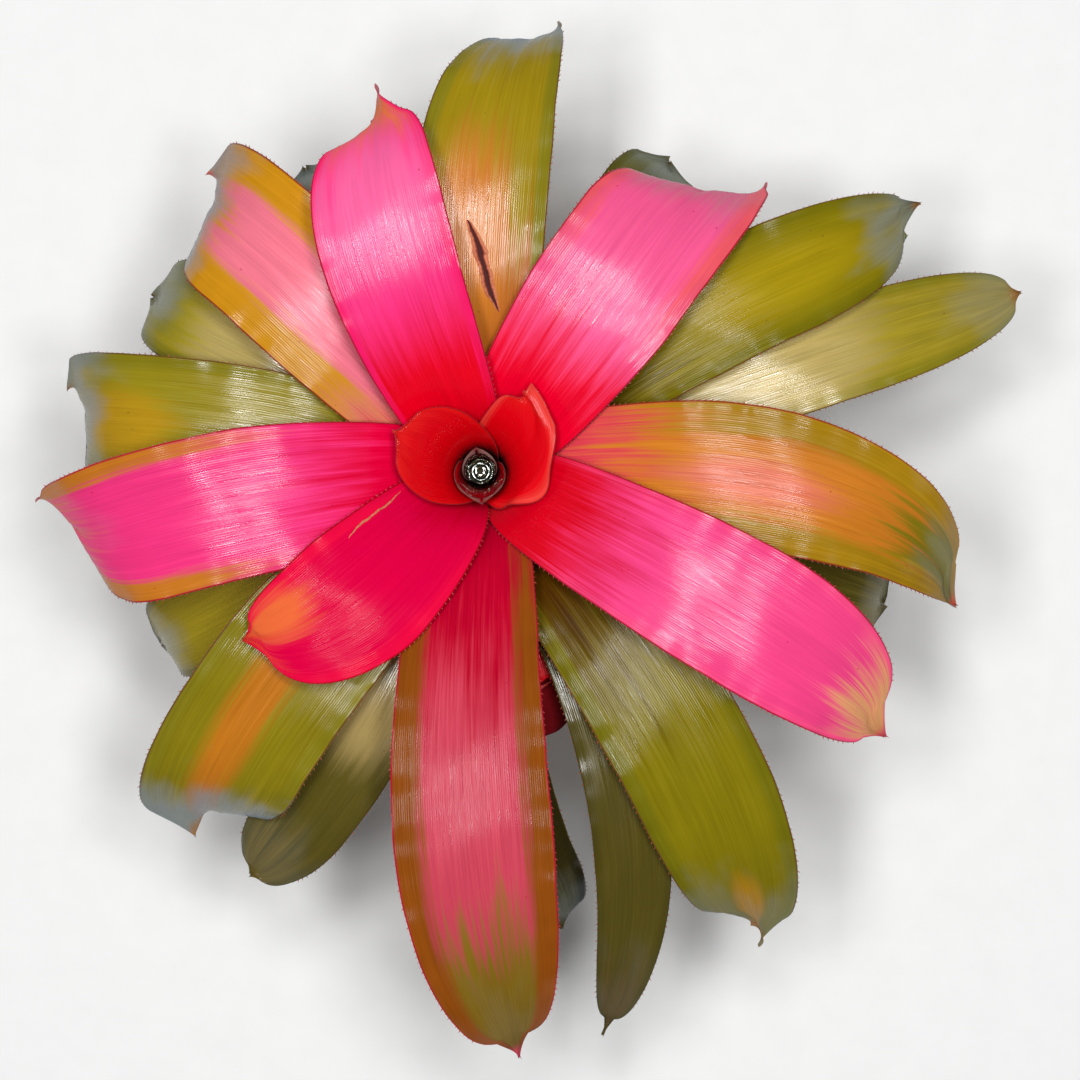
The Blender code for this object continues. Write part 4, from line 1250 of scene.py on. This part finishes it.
bark = earthen("bark", Grain_size=1500.0, Patch_size=160.0, Colour_one=colour(96, 60, 38),
               Colour_two=colour(52, 34, 24), Stain=0.0)
perlite = earthen("perlite", Grain_size=2600.0, Patch_size=600.0, Colour_one=colour(226, 222, 212),
                  Colour_two=colour(196, 190, 178), Stain=0.0)
soil = earthen("damp_soil", Grain_size=700.0, Patch_size=90.0, Colour_one=colour(58, 42, 30),
               Colour_two=colour(34, 26, 20), Stain=0.0, bump_depth=0.8 * MM)
LOADS = {
    "bark_chips": (bark, 3.4 * MM, (1.4 * MM, 1.0 * MM, 0.7 * MM), (3.6 * MM, 2.0 * MM, 1.2 * MM), 4),
    "perlite_grains": (perlite, 8.5 * MM, (0.8 * MM, 0.8 * MM, 0.7 * MM),
                       (1.5 * MM, 1.3 * MM, 1.1 * MM), 9),
}
for label, (material, apart, smallest, largest, seed_number) in LOADS.items():
    bed = ring_surface("bed", *CHIP_RING, MIX_TOP - BED_BELOW_TOP)
    piece = grown(bed, chips.tree, label, {
        "Apart": apart, "Size": smallest, "Largest": largest, "Seed": seed_number, "Finish": material})
    place(piece, "mix")
    print(label, len(piece.data.polygons), "faces")
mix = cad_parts["potting_mix"]
mix.data.materials.clear()
mix.data.materials.append(soil)
print("soil painted on", mix.name)

# %% [markdown]
# ## Stem
# The short stem stays hidden between the sheaths. It is fibrous and brown, ringed by the scars of
# fallen leaves, so its outline is turned with a row of shallow ridges.

# %% Stem
STEM_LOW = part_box("stem")[0].z
CHAMFER = 0.3 * STEM_FOOT_RADIUS
STEM_RING_STEP, SCAR_RING_DEPTH, SCAR_RING_PITCH = 0.7 * MM, 0.3 * MM, 4.4 * MM
stem_outline = divided([np.array(p) for p in (
    (0.0, STEM_TOP), (STEM_TOP_RADIUS, STEM_TOP), (STEM_FOOT_RADIUS, MIX_CENTRE),
    (STEM_FOOT_RADIUS, STEM_LOW + CHAMFER), (STEM_FOOT_RADIUS - CHAMFER, STEM_LOW), (0.0, STEM_LOW))],
    STEM_RING_STEP)
stem = turned_piece("ringed_stem", stem_outline, ripple=SCAR_RING_DEPTH, pitch=SCAR_RING_PITCH,
                    wobble=0.1 * MM)
stem.data.materials.append(earthen("fibrous_stem", Grain_size=1100.0, Patch_size=120.0, Stain=0.0,
                                   Colour_one=colour(120, 96, 58), Colour_two=colour(82, 60, 36)))
place(stem, "stem", "stem")
print("stem has", len(stem.data.polygons), "faces")

# %% [markdown]
# ## Pool
# Rain stands in the innermost tube. Water climbs a little up the wall that holds it, so its surface
# is a shallow bowl, and that bowl gathers the bright panels overhead into one small glint.

# %% Pool
POOL_LOW, POOL_HIGH = (corner.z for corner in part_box("water"))
POOL_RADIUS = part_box("water")[1].x
BOWL_DEPTH, BOWL_CURVE, BOWL_RINGS = 0.9 * MM, 2.2, 14
WALL_RINGS, WALL_GAP = 11, 0.5 * MM
bowl = [np.array((POOL_RADIUS * s, POOL_HIGH - BOWL_DEPTH * (1.0 - s ** BOWL_CURVE)))
        for s in np.linspace(0, 1, BOWL_RINGS)]
foot = STEM_TOP - FIRST_WHORL_BELOW_STEM_TOP
inner = stem_radius(foot) + STEM_CLEARANCE
wall = []
for height in np.linspace(POOL_HIGH, POOL_LOW, WALL_RINGS + 1)[1:]:
    lean = max(0.0, 1.0 - (height - foot) / SHEATH_HEIGHT)
    radius = inner + (HEART_RADIUS - inner) * math.sqrt(1.0 - lean * lean)
    wall.append(np.array((radius - WALL_GAP, height)))
pool = turned_piece("rain_pool", bowl + wall + [np.array((0.0, POOL_LOW))])
water, shader, wiring = principled("still_water", Roughness=0.02, Transmission_Weight=1.0, IOR=1.45)
dust = wiring.noise(wiring.position(), 900.0)
tea = wiring.mix(wiring.step(dust, 0.2, 1.2), colour(216, 224, 212), colour(180, 176, 150))
wiring.join(tea, shader.inputs["Base Color"])
pool.data.materials.append(water)
place(pool, "water", "water")
print("pool", round(2 * POOL_RADIUS / MM, 1), "mm across")

# %% [markdown]
# ## Floor finish and sizes
# The floor is plain and pale, with just enough grain to hold a soft shadow. Last, the size of the
# finished model is printed, to set beside the size of the solids printed at the start.

# %% Floor finish
paper, shader, wiring = principled("pale_paper", Roughness=0.9)
fibre = wiring.noise(wiring.position(), 60.0, 3.0)
shade = wiring.mix(wiring.step(fibre, -1.0, 1.0), colour(246, 246, 245), colour(249, 249, 248))
wiring.join(shade, shader.inputs["Base Color"])
floor.data.materials.append(paper)

# %% Sizes, and the end
low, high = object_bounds()
print("finished model:", [round((b - a) / MM, 1) for a, b in zip(low, high)], "mm")
